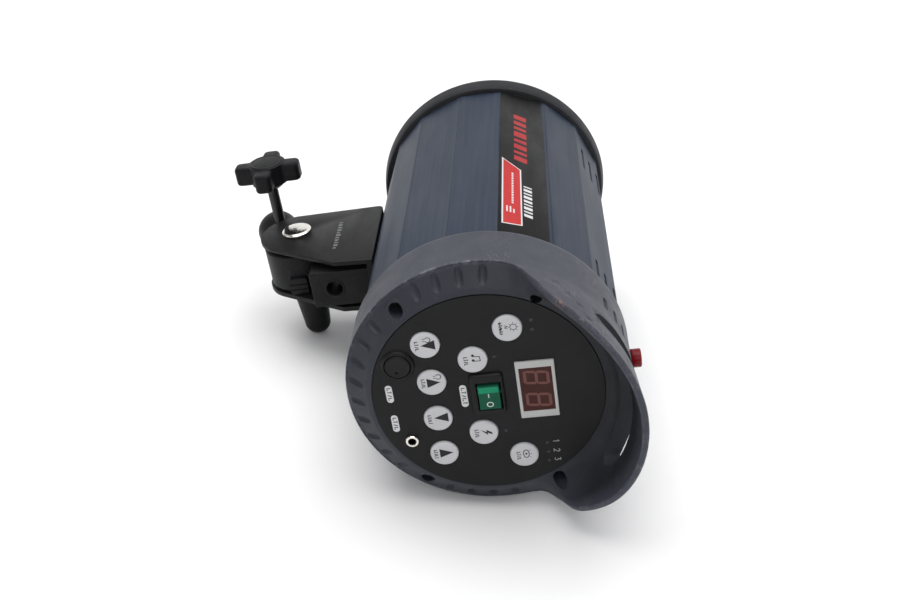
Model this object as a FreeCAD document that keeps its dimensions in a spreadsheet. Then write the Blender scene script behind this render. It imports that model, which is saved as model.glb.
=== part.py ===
import FreeCAD, Part
import Sketcher
import math, os

# Monolight strobe, lying on its side on a table.
# Every sub-part is drawn in the head's own axes: origin on the optical axis in the plane of the
# control panel, X to the right seen from behind, Y forward along the light, Z up in use.
# One placement then lays the head on its side, resting on its front ring and its tilt handle.

V = FreeCAD.Vector
doc = FreeCAD.newDocument("Monolight")
sheet = doc.addObject("Spreadsheet::Sheet", "dims")


class Q:
    """A dimension: its number and the expression that says where it comes from."""

    def __init__(self, v, e):
        self.v = float(v)
        self.e = e

    @staticmethod
    def of(o):
        return o if isinstance(o, Q) else Q(o, repr(float(o)) if o >= 0 else "(%r)" % float(o))

    def __add__(self, o):
        o = Q.of(o); return Q(self.v + o.v, "(%s + %s)" % (self.e, o.e))

    def __radd__(self, o):
        return Q.of(o) + self

    def __sub__(self, o):
        o = Q.of(o); return Q(self.v - o.v, "(%s - %s)" % (self.e, o.e))

    def __rsub__(self, o):
        return Q.of(o) - self

    def __mul__(self, o):
        o = Q.of(o); return Q(self.v * o.v, "(%s * %s)" % (self.e, o.e))

    def __rmul__(self, o):
        return Q.of(o) * self

    def __truediv__(self, o):
        o = Q.of(o); return Q(self.v / o.v, "(%s / %s)" % (self.e, o.e))

    def __neg__(self):
        return Q(-self.v, "(0 - %s)" % self.e)

    def __float__(self):
        return self.v


row_no = [1]


def dim(alias, value, note=""):
    r = row_no[0]
    sheet.set("A%d" % r, alias)
    sheet.set("B%d" % r, repr(float(value)))
    sheet.set("C%d" % r, note)
    sheet.setAlias("B%d" % r, alias)
    row_no[0] += 1
    return Q(value, "dims.%s" % alias)


def num(q):
    return float(q)


# ---------------------------------------------------------------- driving dimensions (mm, degrees)
roll_deg = dim("roll_deg", 8.15, "roll about the optical axis when the head lies on its side")
rest_rad = dim("rest_rad", 63.4, "height of the optical axis over the table")
shift_across = dim("shift_across", 38.104, "optical axis to the middle of the footprint, across")
shift_along = dim("shift_along", -106.5, "panel plane to the middle of the footprint, along")

tube_rad = dim("tube_rad", 60.5, "barrel, over the corners")
tube_wall = dim("tube_wall", 2.1)
tube_back = dim("tube_back", 26.2)
tube_front = dim("tube_front", 201.4)
wide_half = dim("wide_half", 12.25, "half angle of a wide barrel facet")

cover_rad = dim("cover_rad", 62.3)
cover_skirt = dim("cover_skirt", 33.4)
rim_y = dim("rim_y", 7.1)
panel_rad = dim("panel_rad", 49.9)
panel_thick = dim("panel_thick", 2.5)
hood_tip = dim("hood_tip", -31.0)
hood_rad = dim("hood_rad", 65.4)
slot_back = dim("slot_back", -15.0)
slot_front = dim("slot_front", -3.0)
slot_half = dim("slot_half", 40.0)
screw_circle = dim("screw_circle", 54.0)
screw_ang_hi = dim("screw_ang_hi", 61.0)
screw_ang_lo = dim("screw_ang_lo", 126.5)

ring_front = dim("ring_front", 212.6)
ring_rad = dim("ring_rad", 63.4)
ring_bore = dim("ring_bore", 50.0)
plate_bore = dim("plate_bore", 46.0)

button_rad = dim("button_rad", 6.3)
button_gap = dim("button_gap", 0.35)
button_out = dim("button_out", 1.2)
key_row_z = dim("key_row_z", -23.1)
key_pitch = dim("key_pitch", 19.1)
mid_row_x = dim("mid_row_x", 19.15)
mid_row_z = dim("mid_row_z", -4.25)
top_row_x = dim("top_row_x", 33.2)
top_row_z = dim("top_row_z", 12.0)

bezel_wide = dim("bezel_wide", 29.1)
bezel_tall = dim("bezel_tall", 16.6)
window_wide = dim("window_wide", 22.4)
window_tall = dim("window_tall", 13.9)
display_z = dim("display_z", 21.2)

display_x = dim("display_x", -1.35)
switch_x = dim("switch_x", -1.2)
switch_wide = dim("switch_wide", 21.0)
switch_tall = dim("switch_tall", 15.0)
fuse_x = dim("fuse_x", -19.6)
jack_x = dim("jack_x", 20.4)
low_z = dim("low_z", -36.2)

pivot_y = dim("pivot_y", 147.5)
pivot_z = dim("pivot_z", -105.0)
ear_in = dim("ear_in", 10.3)
ear_out = dim("ear_out", 14.0)
ear_rad = dim("ear_rad", 20.0)
drum_rad = dim("drum_rad", 19.0)
bolt_rad = dim("bolt_rad", 4.0)
umbrella_rad = dim("umbrella_rad", 4.2)
umbrella_z = dim("umbrella_z", -81.7)
barrel_rad = dim("barrel_rad", 10.0)
barrel_len = dim("barrel_len", 42.0)
socket_rad = dim("socket_rad", 8.1)
socket_start = dim("socket_start", 10.0)
barrel_ang = dim("barrel_ang", -30.0, "stand socket, from the light's direction, seen from the left")
stud_dist = dim("stud_dist", 30.0)
knob_rad = dim("knob_rad", 18.3)
grip_end = dim("grip_end", 48.9)

doc.recompute()

LAY = FreeCAD.Placement(V(num(shift_across), num(shift_along), num(rest_rad)),
                        FreeCAD.Rotation(V(0, 1, 0), 90.0 - num(roll_deg)))

nodes = []


# ---------------------------------------------------------------- helpers
def setq(obj, prop, q):
    """Set a length property, bound to the sheet where it comes from there."""
    q = Q.of(q)
    setattr(obj, prop, q.v)
    if "dims." in q.e:
        obj.setExpression(prop, q.e)


def setpos(obj, x, y, z, rot=None):
    obj.Placement = FreeCAD.Placement(V(num(Q.of(x)), num(Q.of(y)), num(Q.of(z))), rot or FreeCAD.Rotation())
    for ax, q in (("x", x), ("y", y), ("z", z)):
        q = Q.of(q)
        if "dims." in q.e:
            obj.setExpression("Placement.Base.%s" % ax, q.e)


ALONG_X = FreeCAD.Rotation(V(0, 1, 0), 90)
ALONG_Y = FreeCAD.Rotation(V(1, 0, 0), -90)
ALONG_Z = FreeCAD.Rotation()
counter = [0]


def uname(stem):
    counter[0] += 1
    return "%s_%03d" % (stem, counter[0])


def cyl(r, length, x, y, z, along="Y", rot=None):
    o = doc.addObject("Part::Cylinder", uname("cyl"))
    setq(o, "Radius", r)
    setq(o, "Height", length)
    setpos(o, x, y, z, rot or {"X": ALONG_X, "Y": ALONG_Y, "Z": ALONG_Z}[along])
    return o


def cone(r0, r1, length, x, y, z, along="Y"):
    o = doc.addObject("Part::Cone", uname("cone"))
    setq(o, "Radius1", r0)
    setq(o, "Radius2", r1)
    setq(o, "Height", length)
    setpos(o, x, y, z, {"X": ALONG_X, "Y": ALONG_Y, "Z": ALONG_Z}[along])
    return o


def box(x0, x1, y0, y1, z0, z1):
    o = doc.addObject("Part::Box", uname("box"))
    x0, x1, y0, y1, z0, z1 = [Q.of(k) for k in (x0, x1, y0, y1, z0, z1)]
    setq(o, "Length", x1 - x0)
    setq(o, "Width", y1 - y0)
    setq(o, "Height", z1 - z0)
    setpos(o, x0, y0, z0)
    return o


def ball(r, x, y, z):
    o = doc.addObject("Part::Sphere", uname("ball"))
    setq(o, "Radius", r)
    setpos(o, x, y, z)
    return o


def torus(R, r, x, y, z, sweep=360.0, rot=None):
    o = doc.addObject("Part::Torus", uname("torus"))
    setq(o, "Radius1", R)
    setq(o, "Radius2", r)
    o.Angle3 = sweep
    setpos(o, x, y, z, rot or ALONG_Y)
    return o


def fuse(*objs):
    if len(objs) == 1:
        return objs[0]
    o = doc.addObject("Part::MultiFuse", uname("fuse"))
    o.Shapes = list(objs)
    return o


def cut(a, *tools):
    o = doc.addObject("Part::Cut", uname("cut"))
    o.Base = a
    o.Tool = fuse(*tools)
    return o


def common(a, b):
    o = doc.addObject("Part::Common", uname("common"))
    o.Base = a
    o.Tool = b
    return o


def group(*objs):
    o = doc.addObject("Part::Compound", uname("group"))
    o.Links = list(objs)
    return o


def finish(obj, label, extra=None):
    """Name a finished sub-part and lay it in its place."""
    obj.Label = label
    own = FreeCAD.Placement(obj.Placement)
    for ax in "xyz":
        obj.setExpression("Placement.Base.%s" % ax, None)
    obj.Placement = LAY.multiply(own) if extra is None else LAY.multiply(extra).multiply(own)
    nodes.append(obj)
    return obj


def body(name):
    return doc.addObject("PartDesign::Body", "solid_" + name)


def plane_of(b, role):
    for f in b.Origin.OriginFeatures:
        if getattr(f, "Role", "") == role:
            return f
    raise RuntimeError("no plane " + role)


def sketch(b, role, lift=0):
    """A sketch on one of the body's own origin planes, lifted along that plane's normal."""
    s = b.newObject("Sketcher::SketchObject", uname("sk"))
    s.AttachmentSupport = [(plane_of(b, role), "")]
    s.MapMode = "FlatFace"
    lift = Q.of(lift)
    s.AttachmentOffset = FreeCAD.Placement(V(0, 0, lift.v), FreeCAD.Rotation())
    if "dims." in lift.e:
        s.setExpression("AttachmentOffset.Base.z", lift.e)
    return s


def pin_point(s, geo, pos, x, y):
    """Fix a sketch point by its distances from the sketch origin."""
    for kind, q in (("DistanceX", Q.of(x)), ("DistanceY", Q.of(y))):
        i = s.addConstraint(Sketcher.Constraint(kind, -1, 1, geo, pos, q.v))
        if "dims." in q.e:
            s.setExpression("Constraints[%d]" % i, q.e)


def poly(s, pts):
    """Closed outline through pts, each corner tied to the sketch origin."""
    pts = [(Q.of(x), Q.of(y)) for x, y in pts]
    n = len(pts)
    first = s.GeometryCount
    for i in range(n):
        a, c = pts[i], pts[(i + 1) % n]
        s.addGeometry(Part.LineSegment(V(a[0].v, a[1].v, 0), V(c[0].v, c[1].v, 0)), False)
    for i in range(n):
        s.addConstraint(Sketcher.Constraint("Coincident", first + i, 2, first + (i + 1) % n, 1))
    for i in range(n):
        pin_point(s, first + i, 1, pts[i][0], pts[i][1])
    return first


def rect(s, x0, x1, y0, y1):
    return poly(s, [(x0, y0), (x1, y0), (x1, y1), (x0, y1)])


def circle(s, x, y, r):
    x, y, r = Q.of(x), Q.of(y), Q.of(r)
    g = s.addGeometry(Part.Circle(V(x.v, y.v, 0), V(0, 0, 1), r.v), False)
    i = s.addConstraint(Sketcher.Constraint("Radius", g, r.v))
    if "dims." in r.e:
        s.setExpression("Constraints[%d]" % i, r.e)
    pin_point(s, g, 3, x, y)
    return g


def pad(b, s, length, reverse=False, both=False):
    p = b.newObject("PartDesign::Pad", uname("pad"))
    p.Profile = s
    setq(p, "Length", length)
    p.Reversed = reverse
    p.Midplane = both
    b.Tip = p
    return p


def pocket(b, s, length=None, reverse=False, both=False):
    """Cut; the cut must remove material, or it stops here."""
    doc.recompute()
    before = b.Shape.Volume
    p = b.newObject("PartDesign::Pocket", uname("pocket"))
    p.Profile = s
    if length is None:
        p.Type = 1
    else:
        setq(p, "Length", length)
    p.Reversed = reverse
    p.Midplane = both
    b.Tip = p
    doc.recompute()
    if not b.Shape.Volume < before - 1e-6:
        raise RuntimeError("pocket %s in %s cuts nothing" % (p.Name, b.Name))
    return p


def revolve(b, s, angle=360.0):
    p = b.newObject("PartDesign::Revolution", uname("rev"))
    p.Profile = s
    p.ReferenceAxis = (s, ["H_Axis"])
    p.Angle = angle
    b.Tip = p
    return p


def polar(b, feat, s, count, axis="H_Axis"):
    doc.recompute()
    p = b.newObject("PartDesign::PolarPattern", uname("polar"))
    p.Originals = [feat]
    p.Axis = (s, [axis])
    p.Angle = 360.0
    p.Occurrences = count
    b.Tip = p
    doc.recompute()
    return p


def prism_y(b, s_fn, y0, y1, add=True):
    """Pad or pocket between y0 and y1 from a sketch on the XZ plane (its normal looks backward)."""
    y0, y1 = Q.of(y0), Q.of(y1)
    s = sketch(b, "XZ_Plane", -y0)
    s_fn(s)
    if add:
        return pad(b, s, y1 - y0, reverse=True)
    return pocket(b, s, y1 - y0, reverse=False)


def rad(a):
    return math.radians(num(Q.of(a)))


# ================================================================= barrel
# 16 facets, wide and narrow in turn; the narrow ones face straight up, down and to the sides.
def facet_points(r, scale=1.0):
    pts = []
    w = num(wide_half)
    for k in range(8):
        for a in (22.5 + 45 * k - w, 22.5 + 45 * k + w):
            fx, fz = math.sin(math.radians(a)) * scale, math.cos(math.radians(a)) * scale
            pts.append((r * fx, r * fz))
    return pts


b = body("main_tube")
prism_y(b, lambda s: (poly(s, facet_points(tube_rad)), poly(s, facet_points(tube_rad - tube_wall))), tube_back, tube_front)


def slot_rows(s, angs, y0, y1, half):
    """Axial slots through the upper wall, drawn from above."""
    for a in angs:
        x = math.sin(math.radians(a)) * num(tube_rad)
        rect(s, x - half, x + half, y0, y1)


s = sketch(b, "XY_Plane", 0)
slot_rows(s, (-31, -24, -16, -8, 0, 8, 16, 24, 31), 37.5, 50.0, 0.9)
slot_rows(s, (-31, -24, -16, -8, 0, 8, 16, 24, 31), 158.0, 173.0, 0.9)
pocket(b, s, None, reverse=True)
# mains inlet opening, in the wide facet low on the right side
inlet_ang = 157.5
inlet_turn = FreeCAD.Rotation(V(0, 1, 0), inlet_ang)
inlet_y = 66.0
main_tube = b
inlet_hole = doc.addObject("Part::Box", "inlet_hole")
inlet_hole.Length, inlet_hole.Width, inlet_hole.Height = 19.8, 27.2, 12
inlet_hole.Placement = FreeCAD.Placement(V(0, 0, 0), inlet_turn).multiply(FreeCAD.Placement(V(-9.9, inlet_y - 13.6, 52), FreeCAD.Rotation()))
bracket_taps = [cyl(1.6, 8, sx, y, -63, "Z") for y in (136.0, 162.0) for sx in (-6.5, 6.5)]
tube_cut = cut(b, inlet_hole, *bracket_taps)
finish(tube_cut, "main_tube")

# ================================================================= rear cover
b = body("rear_cover")
# hood band, turned, then trimmed to its S-shaped rim
s = sketch(b, "YZ_Plane")
poly(s, [(12, cover_rad - 0.02), (6, cover_rad), (-9, cover_rad + 1.2), (hood_tip, hood_rad), (hood_tip, hood_rad - 3.0),
         (-24, hood_rad - 3.5), (-16, hood_rad - 4.6), (-9.5, hood_rad - 6.6), (-4.5, hood_rad - 9.4), (-1.2, hood_rad - 12.6),
         (0.2, panel_rad + 0.5), (5.0, panel_rad + 0.5), (7.5, 56.0), (12, 59.4)])
revolve(b, s)
s = sketch(b, "YZ_Plane")
rim = [(8.6, 6.0), (7.6, 12.0), (4.0, 19.5), (-2.5, 24.0), (-8.5, 28.0), (-14.5, 31.6), (-19.0, 37.0), (-22.8, 43.0),
       (-26.6, 50.0), (-29.2, 57.0), (-30.7, 63.0), (-31.2, 68.0)]
outline = [(-40.0, 68.0), (-40.0, -72.0), (12.5, -72.0), (12.5, 6.0)] + rim
s_first = s.GeometryCount
curve = Part.BSplineCurve()
curve.interpolate([V(y, z, 0) for y, z in rim])
s.addGeometry(curve, False)
s.addGeometry(Part.LineSegment(V(rim[-1][0], rim[-1][1], 0), V(-40, 68, 0)), False)
s.addGeometry(Part.LineSegment(V(-40, 68, 0), V(-40, -72, 0)), False)
s.addGeometry(Part.LineSegment(V(-40, -72, 0), V(12.5, -72, 0)), False)
s.addGeometry(Part.LineSegment(V(12.5, -72, 0), V(12.5, 6, 0)), False)
s.addGeometry(Part.LineSegment(V(12.5, 6, 0), V(rim[0][0], rim[0][1], 0)), False)
pocket(b, s, None, both=True)
# bezel cone, outer wall, tube seat and skirt, with the ledge the panel rests on
s = sketch(b, "YZ_Plane")
poly(s, [(0.2, panel_rad + 0.4), (rim_y - 0.4, cover_rad - 0.45), (rim_y + 0.3, cover_rad), (cover_skirt, cover_rad - 0.2), (cover_skirt, tube_rad + 0.15),
         (tube_back - 0.1, tube_rad + 0.15), (tube_back - 0.1, 57.4), (23.0, 57.4), (23.0, 59.4), (11.0, 59.4), (5.4, panel_rad + 0.6), (5.4, 48.0),
         (panel_thick + 0.05, 48.0), (panel_thick + 0.05, panel_rad + 0.4)])
revolve(b, s)
doc.recompute()
rear_body = b


def polar_xz(r, a):
    return num(Q.of(r)) * math.sin(math.radians(a)), num(Q.of(r)) * math.cos(math.radians(a))


screw_angs = [num(screw_ang_hi), -num(screw_ang_hi), num(screw_ang_lo), -num(screw_ang_lo)]
bosses, pockets_, holes = [], [], []
for a in screw_angs:
    x, z = polar_xz(screw_circle, a)
    bosses.append(cyl(5.0, 13.0, x, 3.2, z))
    pockets_.append(cyl(3.7 if abs(a) > 90 else 4.4, 52.6, x, -40, z))
    holes.append(cyl(1.9, 20, x, 0, z))
shell = cut(fuse(rear_body, *bosses), *(pockets_ + holes))
# carrying slot through the hood
sx = num(hood_rad) * math.sin(rad(slot_half)) - 2
sw = num(slot_front) - num(slot_back)
slot_tools = [box(-(sx - sw / 2), sx - sw / 2, slot_back, slot_front, 34, 75),
              cyl(sw / 2, 41, -(sx - sw / 2), num(slot_back) + sw / 2, 34, "Z"), cyl(sw / 2, 41, sx - sw / 2, num(slot_back) + sw / 2, 34, "Z")]
vent_tools = [box(num(cover_rad) * math.sin(math.radians(a)) - 1.1, num(cover_rad) * math.sin(math.radians(a)) + 1.1, 8.6, 16.2, 45, 72)
              for a in (-31, -24, -17, 17, 24, 31)]
sensor_y = 18.0
vent_tools.append(cyl(3.05, 12, 0, sensor_y, 56, "Z"))
cover = cut(shell, *(slot_tools + vent_tools))
finish(cover, "rear_cover")

# ================================================================= control panel
b = body("control_panel")
keys = {
    "button_lamp_down": (-1.5 * key_pitch, key_row_z), "button_lamp_up": (-0.5 * key_pitch, key_row_z),
    "button_power_down": (0.5 * key_pitch, key_row_z), "button_power_up": (1.5 * key_pitch, key_row_z),
    "button_sound": (-mid_row_x, mid_row_z), "button_test": (mid_row_x + 0, mid_row_z),
    "button_lamp_mode": (-top_row_x, top_row_z), "button_cell": (top_row_x + 0, top_row_z),
}
leds = [(-36.0, 22.2), (-31.4, 22.2), (-19.6, 5.1), (19.2, 5.3), (27.9, 22.6), (32.9, 22.6), (37.7, 22.6)]


def panel_outline(s):
    circle(s, 0, 0, panel_rad)
    for x, z in keys.values():
        circle(s, x, z, button_rad + button_gap)
    rect(s, display_x - (bezel_wide / 2 + 0.1), display_x + bezel_wide / 2 + 0.1, display_z - bezel_tall / 2 - 0.1, display_z + bezel_tall / 2 + 0.1)
    rect(s, switch_x - 9.8, switch_x + 9.8, -6.7, 6.7)
    circle(s, fuse_x, low_z, 6.2)
    circle(s, jack_x, low_z, 2.75)
    for x, z in leds:
        circle(s, x, z, 1.0)


prism_y(b, panel_outline, 0, panel_thick)
finish(b, "control_panel")

# push buttons: crowned cap, retaining flange behind the panel, stem to its switch
for name, (x, z) in keys.items():
    b = body(name)
    s = sketch(b, "YZ_Plane")
    poly(s, [(-button_out, 0), (-button_out, button_rad - 1.3), (-button_out + 0.25, button_rad - 0.5), (-button_out + 0.8, button_rad),
             (2.85, button_rad), (2.85, button_rad + 0.9), (3.7, button_rad + 0.9), (3.7, 2.2), (4.6, 2.2), (4.6, 0)])
    revolve(b, s)
    finish(b, name, FreeCAD.Placement(V(num(Q.of(x)), 0, num(Q.of(z))), FreeCAD.Rotation()))

# ================================================================= display
o = cut(box(display_x - bezel_wide / 2, display_x + bezel_wide / 2, -0.7, 5.0, display_z - bezel_tall / 2, display_z + bezel_tall / 2),
        box(display_x - window_wide / 2, display_x + window_wide / 2, -2, 7, display_z - window_tall / 2, display_z + window_tall / 2))
finish(o, "display_bezel")
finish(box(display_x - window_wide / 2 + 0.05, display_x + window_wide / 2 - 0.05, -0.4, 0.6, display_z - window_tall / 2 + 0.05, display_z + window_tall / 2 - 0.05), "display_window")
finish(fuse(box(display_x - window_wide / 2 + 0.2, display_x + window_wide / 2 - 0.2, 0.65, 6.6, display_z - window_tall / 2 + 0.2, display_z + window_tall / 2 - 0.2),
            *[cyl(0.25, 3.4, display_x - 8.9 + 2.54 * i, 6.4, zz) for i in range(8) for zz in (display_z - 5.0, display_z + 5.0)]), "display_module")
finish(group(*[fuse(cyl(0.95, 2.85, x, -0.15, z), cyl(1.5, 2.0, x, 2.6, z)) for x, z in leds]), "status_lights")

# ================================================================= mains switch
b = body("switch_frame")
prism_y(b, lambda s: rect(s, switch_x - switch_wide / 2, switch_x + switch_wide / 2, -switch_tall / 2, switch_tall / 2), -1.7, 0.0)
prism_y(b, lambda s: rect(s, switch_x - 9.6, switch_x + 9.6, -6.5, 6.5), 0.0, 15.0)
prism_y(b, lambda s: rect(s, switch_x - 7.75, switch_x + 7.75, -6.0, 6.0), -2.0, 11.0, add=False)
frame_blades = [box(switch_x + xx - 2.4, switch_x + xx + 2.4, 14.8, 21.0, -0.4, 0.4) for xx in (-6.4, 0, 6.4)]
finish(cut(fuse(b, *frame_blades), cyl(1.06, 13.0, switch_x, 1.0, -6.5, "Z")), "switch_frame")

b = body("power_rocker")
s = sketch(b, "XZ_Plane", 0)
# drawn as a section across the switch and later laid along the pivot
poly(s, [(-6.9, 4.1), (0, 3.0), (6.9, 4.1), (7.2, 0), (7.15, -1.6), (4.2, -4.6), (-4.2, -4.6), (-7.15, -1.6), (-7.2, 0)])
pad(b, s, 11.4, both=True)
rocker_up = FreeCAD.Placement(V(num(switch_x), 1.0, 0), FreeCAD.Rotation(V(0, 0, 1), 9.0)).multiply(
    FreeCAD.Placement(V(0, 0, 0), FreeCAD.Rotation(V(1, 0, 0), 90)))
rocker_pins = cyl(1.0, 12.8, 0, -6.4, 0, "Y")
finish(fuse(b, rocker_pins), "power_rocker", rocker_up)

# ================================================================= fuse holder, cap and fuse
finish(cut(fuse(cyl(7.0, 1.4, fuse_x, -1.4, low_z), cyl(6.1, 30.0, fuse_x, 0, low_z)),
           cyl(5.75, 6.2, fuse_x, -2, low_z), cyl(3.75, 26.0, fuse_x, 2.0, low_z)), "fuse_holder")
finish(cut(fuse(cyl(5.5, 5.6, fuse_x, -2.0, low_z), cyl(3.5, 6.5, fuse_x, 3.6, low_z)),
           box(fuse_x - 0.55, fuse_x + 0.55, -2.5, -1.1, low_z - 3.4, low_z + 3.4), cyl(2.75, 7.0, fuse_x, 4.5, low_z)), "fuse_cap")
finish(cyl(2.6, 20.0, fuse_x, 6.2, low_z), "fuse_link")

# ================================================================= sync socket
finish(cut(fuse(cyl(2.65, 9.4, jack_x, -1.4, low_z), cyl(2.95, 1.35, jack_x, -1.4, low_z)), cyl(1.78, 14, jack_x, -2, low_z)), "sync_bushing")
finish(cut(fuse(box(jack_x - 4.5, jack_x + 4.5, 3.0, 15.0, low_z - 4.5, low_z + 4.5)),
           cyl(2.7, 5.1, jack_x, 2.9, low_z), cyl(2.0, 5.5, jack_x, 7.9, low_z)), "sync_socket")

# ================================================================= slave sensor on top of the cover
finish(cut(fuse(cyl(2.95, 7.5, 0, sensor_y, 57.0, "Z"), cyl(3.9, 3.0, 0, sensor_y, num(cover_rad) + 0.05, "Z"),
                cyl(4.5, 2.2, 0, sensor_y, num(cover_rad) + 2.6, "Z")), cyl(1.6, 4.5, 0, sensor_y, 56.0, "Z")), "slave_sensor")

# ================================================================= screws, rods and boards inside
scr, rods = [], []
for a in screw_angs:
    x, z = polar_xz(screw_circle, a)
    scr.append(cut(fuse(cyl(3.2, 2.4, x, 10.15, z), cyl(1.7, 14.0, x, 12.5, z)), cyl(1.25, 1.5, x, 9.8, z)))
    rods.append(cut(cyl(2.9, 176.5, x, 16.4, z), cyl(1.75, 14.0, x, 15.0, z)))
finish(group(*scr), "cover_screws")
finish(group(*rods), "tie_rods")

board_holes = [box(switch_x - 10.4, switch_x + 10.4, 6, 12, -7.2, 7.2), cyl(6.6, 6, fuse_x, 6, low_z), box(jack_x - 5, jack_x + 5, 6, 12, low_z - 5, low_z + 5)]
finish(cut(cyl(46.0, 1.6, 0, 8.2, 0), *(board_holes + [cyl(0.45, 3, display_x - 8.9 + 2.54 * i, 7.5, zz) for i in range(8) for zz in (display_z - 5.0, display_z + 5.0)])),
       "panel_board")
tacts = [fuse(box(num(Q.of(x)) - 3, num(Q.of(x)) + 3, 6.2, 8.15, num(Q.of(z)) - 3, num(Q.of(z)) + 3), cyl(1.7, 0.8, x, 5.5, z)) for x, z in keys.values()]
finish(group(*tacts), "key_switches")

finish(cut(box(-35, 35, 36.0, 51.0, -35, 35), cyl(33.3, 12.0, 0, 35.0, 0), *([cyl(2.2, 17, xx, 35.0, zz) for xx in (-30, 30) for zz in (-30, 30)]
       + [cut(cyl(33.3, 6.0, 0, 46.5, 0), cyl(14.0, 8, 0, 46, 0), box(-2, 2, 45, 55, -36, 36), box(-36, 36, 45, 55, -2, 2))])), "fan_frame")
blades = []
for k in range(7):
    p = doc.addObject("Part::Box", uname("blade"))
    p.Length, p.Width, p.Height = 20.0, 1.2, 9.0
    p.Placement = FreeCAD.Placement(V(0, 41.3, 0), FreeCAD.Rotation(V(0, 1, 0), 360.0 / 7 * k)).multiply(
        FreeCAD.Placement(V(11.8, 0, 0), FreeCAD.Rotation(V(1, 0, 0), 50))).multiply(FreeCAD.Placement(V(0, -0.6, -4.5), FreeCAD.Rotation()))
    blades.append(p)
finish(fuse(cyl(14.5, 8.7, 0, 37.0, 0), *blades), "fan_rotor")

heat = [box(-28 + 6 * i, -26.5 + 6 * i, 57.5, 69.0, -46.0, -34.0) for i in range(4)]
finish(fuse(cut(cyl(50.0, 1.6, 0, 55.0, 0)  , cyl(6, 4, 0, 54, 0), box(5.5, 42, 54, 58, -60, -26)), box(-30, -4, 56.5, 58.0, -46.5, -33.5), *heat), "charge_board")
caps = []
for a in (0, 118, -118):
    x, z = polar_xz(31.0, a)
    caps.append(fuse(cyl(17.5, 78.0, x, 72.0, z), cyl(3.0, 3.0, x + 4.5, 149.5, z), cyl(3.0, 3.0, x - 4.5, 149.5, z)))
finish(group(*caps), "capacitor_bank")
finish(cut(cyl(55.5, 2.0, 0, 154.0, 0), *([cyl(3.2, 5, *[polar_xz(screw_circle, a)[0]], 153, polar_xz(screw_circle, a)[1]) for a in screw_angs]
       + [cyl(9, 5, 0, 153, -40), cyl(9, 5, 30, 153, 26), cyl(9, 5, -30, 153, 26)])), "mid_plate")
finish(fuse(box(-13, 13, 156.2, 160.0, -52.0, -27.0), cyl(10.5, 20.0, 0, 160.0, -39.5)), "trigger_coil")

# ================================================================= front: ring, bayonet, lamp and flash tube
b = body("front_ring")
s = sketch(b, "YZ_Plane")
poly(s, [(193.0, 56.9), (201.5, 56.9), (201.5, 61.2), (203.4, 62.3), (ring_front - 1.3, ring_rad), (ring_front - 0.3, ring_rad - 0.2),
         (ring_front, ring_rad - 0.7), (ring_front, 52.4), (208.4, 52.4), (208.4, ring_bore), (193.0, ring_bore)])
revolve(b, s)
doc.recompute()
# the latch sits between two lug slots, 40 degrees round from the top
latch_turn = FreeCAD.Placement(V(0, 0, 0), FreeCAD.Rotation(V(0, 1, 0), 180.0 + 40.0))
latch_slot = box(-3.2, 3.2, 203.0, 211.0, -66, -44)
for ax in "xyz":
    latch_slot.setExpression("Placement.Base.%s" % ax, None)
latch_slot.Placement = latch_turn.multiply(latch_slot.Placement)
plate_screw_angs = (80.0, 180.0, 300.0)
ring_taps = [cyl(1.28, 6.0, polar_xz(49.4, a)[0], 204.0, polar_xz(49.4, a)[1]) for a in plate_screw_angs]
finish(cut(b, *([latch_slot] + ring_taps)), "front_ring")

b = body("bayonet_plate")
prism_y(b, lambda s: (circle(s, 0, 0, 52.2), circle(s, 0, 0, plate_bore)), 208.5, 210.6)
doc.recompute()
lugs = []
for a in (0.0, 120.0, 240.0):
    lg = box(-11.0, 11.0, 207.5, 212.0, 40.0, 49.6)
    lg.setExpression("Placement.Base.x", None)
    lg.setExpression("Placement.Base.y", None)
    lg.setExpression("Placement.Base.z", None)
    lg.Placement = FreeCAD.Placement(V(0, 0, 0), FreeCAD.Rotation(V(0, 1, 0), a)).multiply(lg.Placement)
    lugs.append(lg)
plate_holes = []
for a in plate_screw_angs:
    x, z = polar_xz(49.4, a)
    plate_holes.append(cyl(1.3, 6, x, 206, z))
plate_slot = box(-3.4, 3.4, 207, 212, -54, -44)
plate_slot.Placement = latch_turn.multiply(plate_slot.Placement)
finish(cut(b, *(lugs + plate_holes + [plate_slot])), "bayonet_plate")
bs = []
for a in plate_screw_angs:
    x, z = polar_xz(49.4, a)
    bs.append(cut(fuse(cyl(2.3, 1.2, x, 210.65, z), cyl(1.25, 4.0, x, 206.7, z)), cyl(0.9, 0.9, x, 211.2, z)))
finish(group(*bs), "bayonet_screws")
finish(fuse(box(-2.9, 2.9, 206.9, 210.5, -64.6, -47.6), box(-6.0, 6.0, 205.6, 211.6, -67.0, -64.3),
            box(-6.0, 6.0, 206.0, 207.0, -67.6, -66.9), box(-6.0, 6.0, 208.1, 209.1, -67.6, -66.9), box(-6.0, 6.0, 210.2, 211.2, -67.6, -66.9)), "latch_slider", latch_turn)

finish(cut(cyl(49.8, 3.0, 0, 195.0, 0), *([cyl(20.4, 6, 0, 194, 0)] + [cyl(4.3, 6, xx, 194, -33.1) for xx in (-9.4, 9.4)]
       + [cyl(1.25, 6, *[polar_xz(34.5, a)[0]], 194, polar_xz(34.5, a)[1]) for a in (0, 90, 270)])), "lamp_base_plate")
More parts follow.
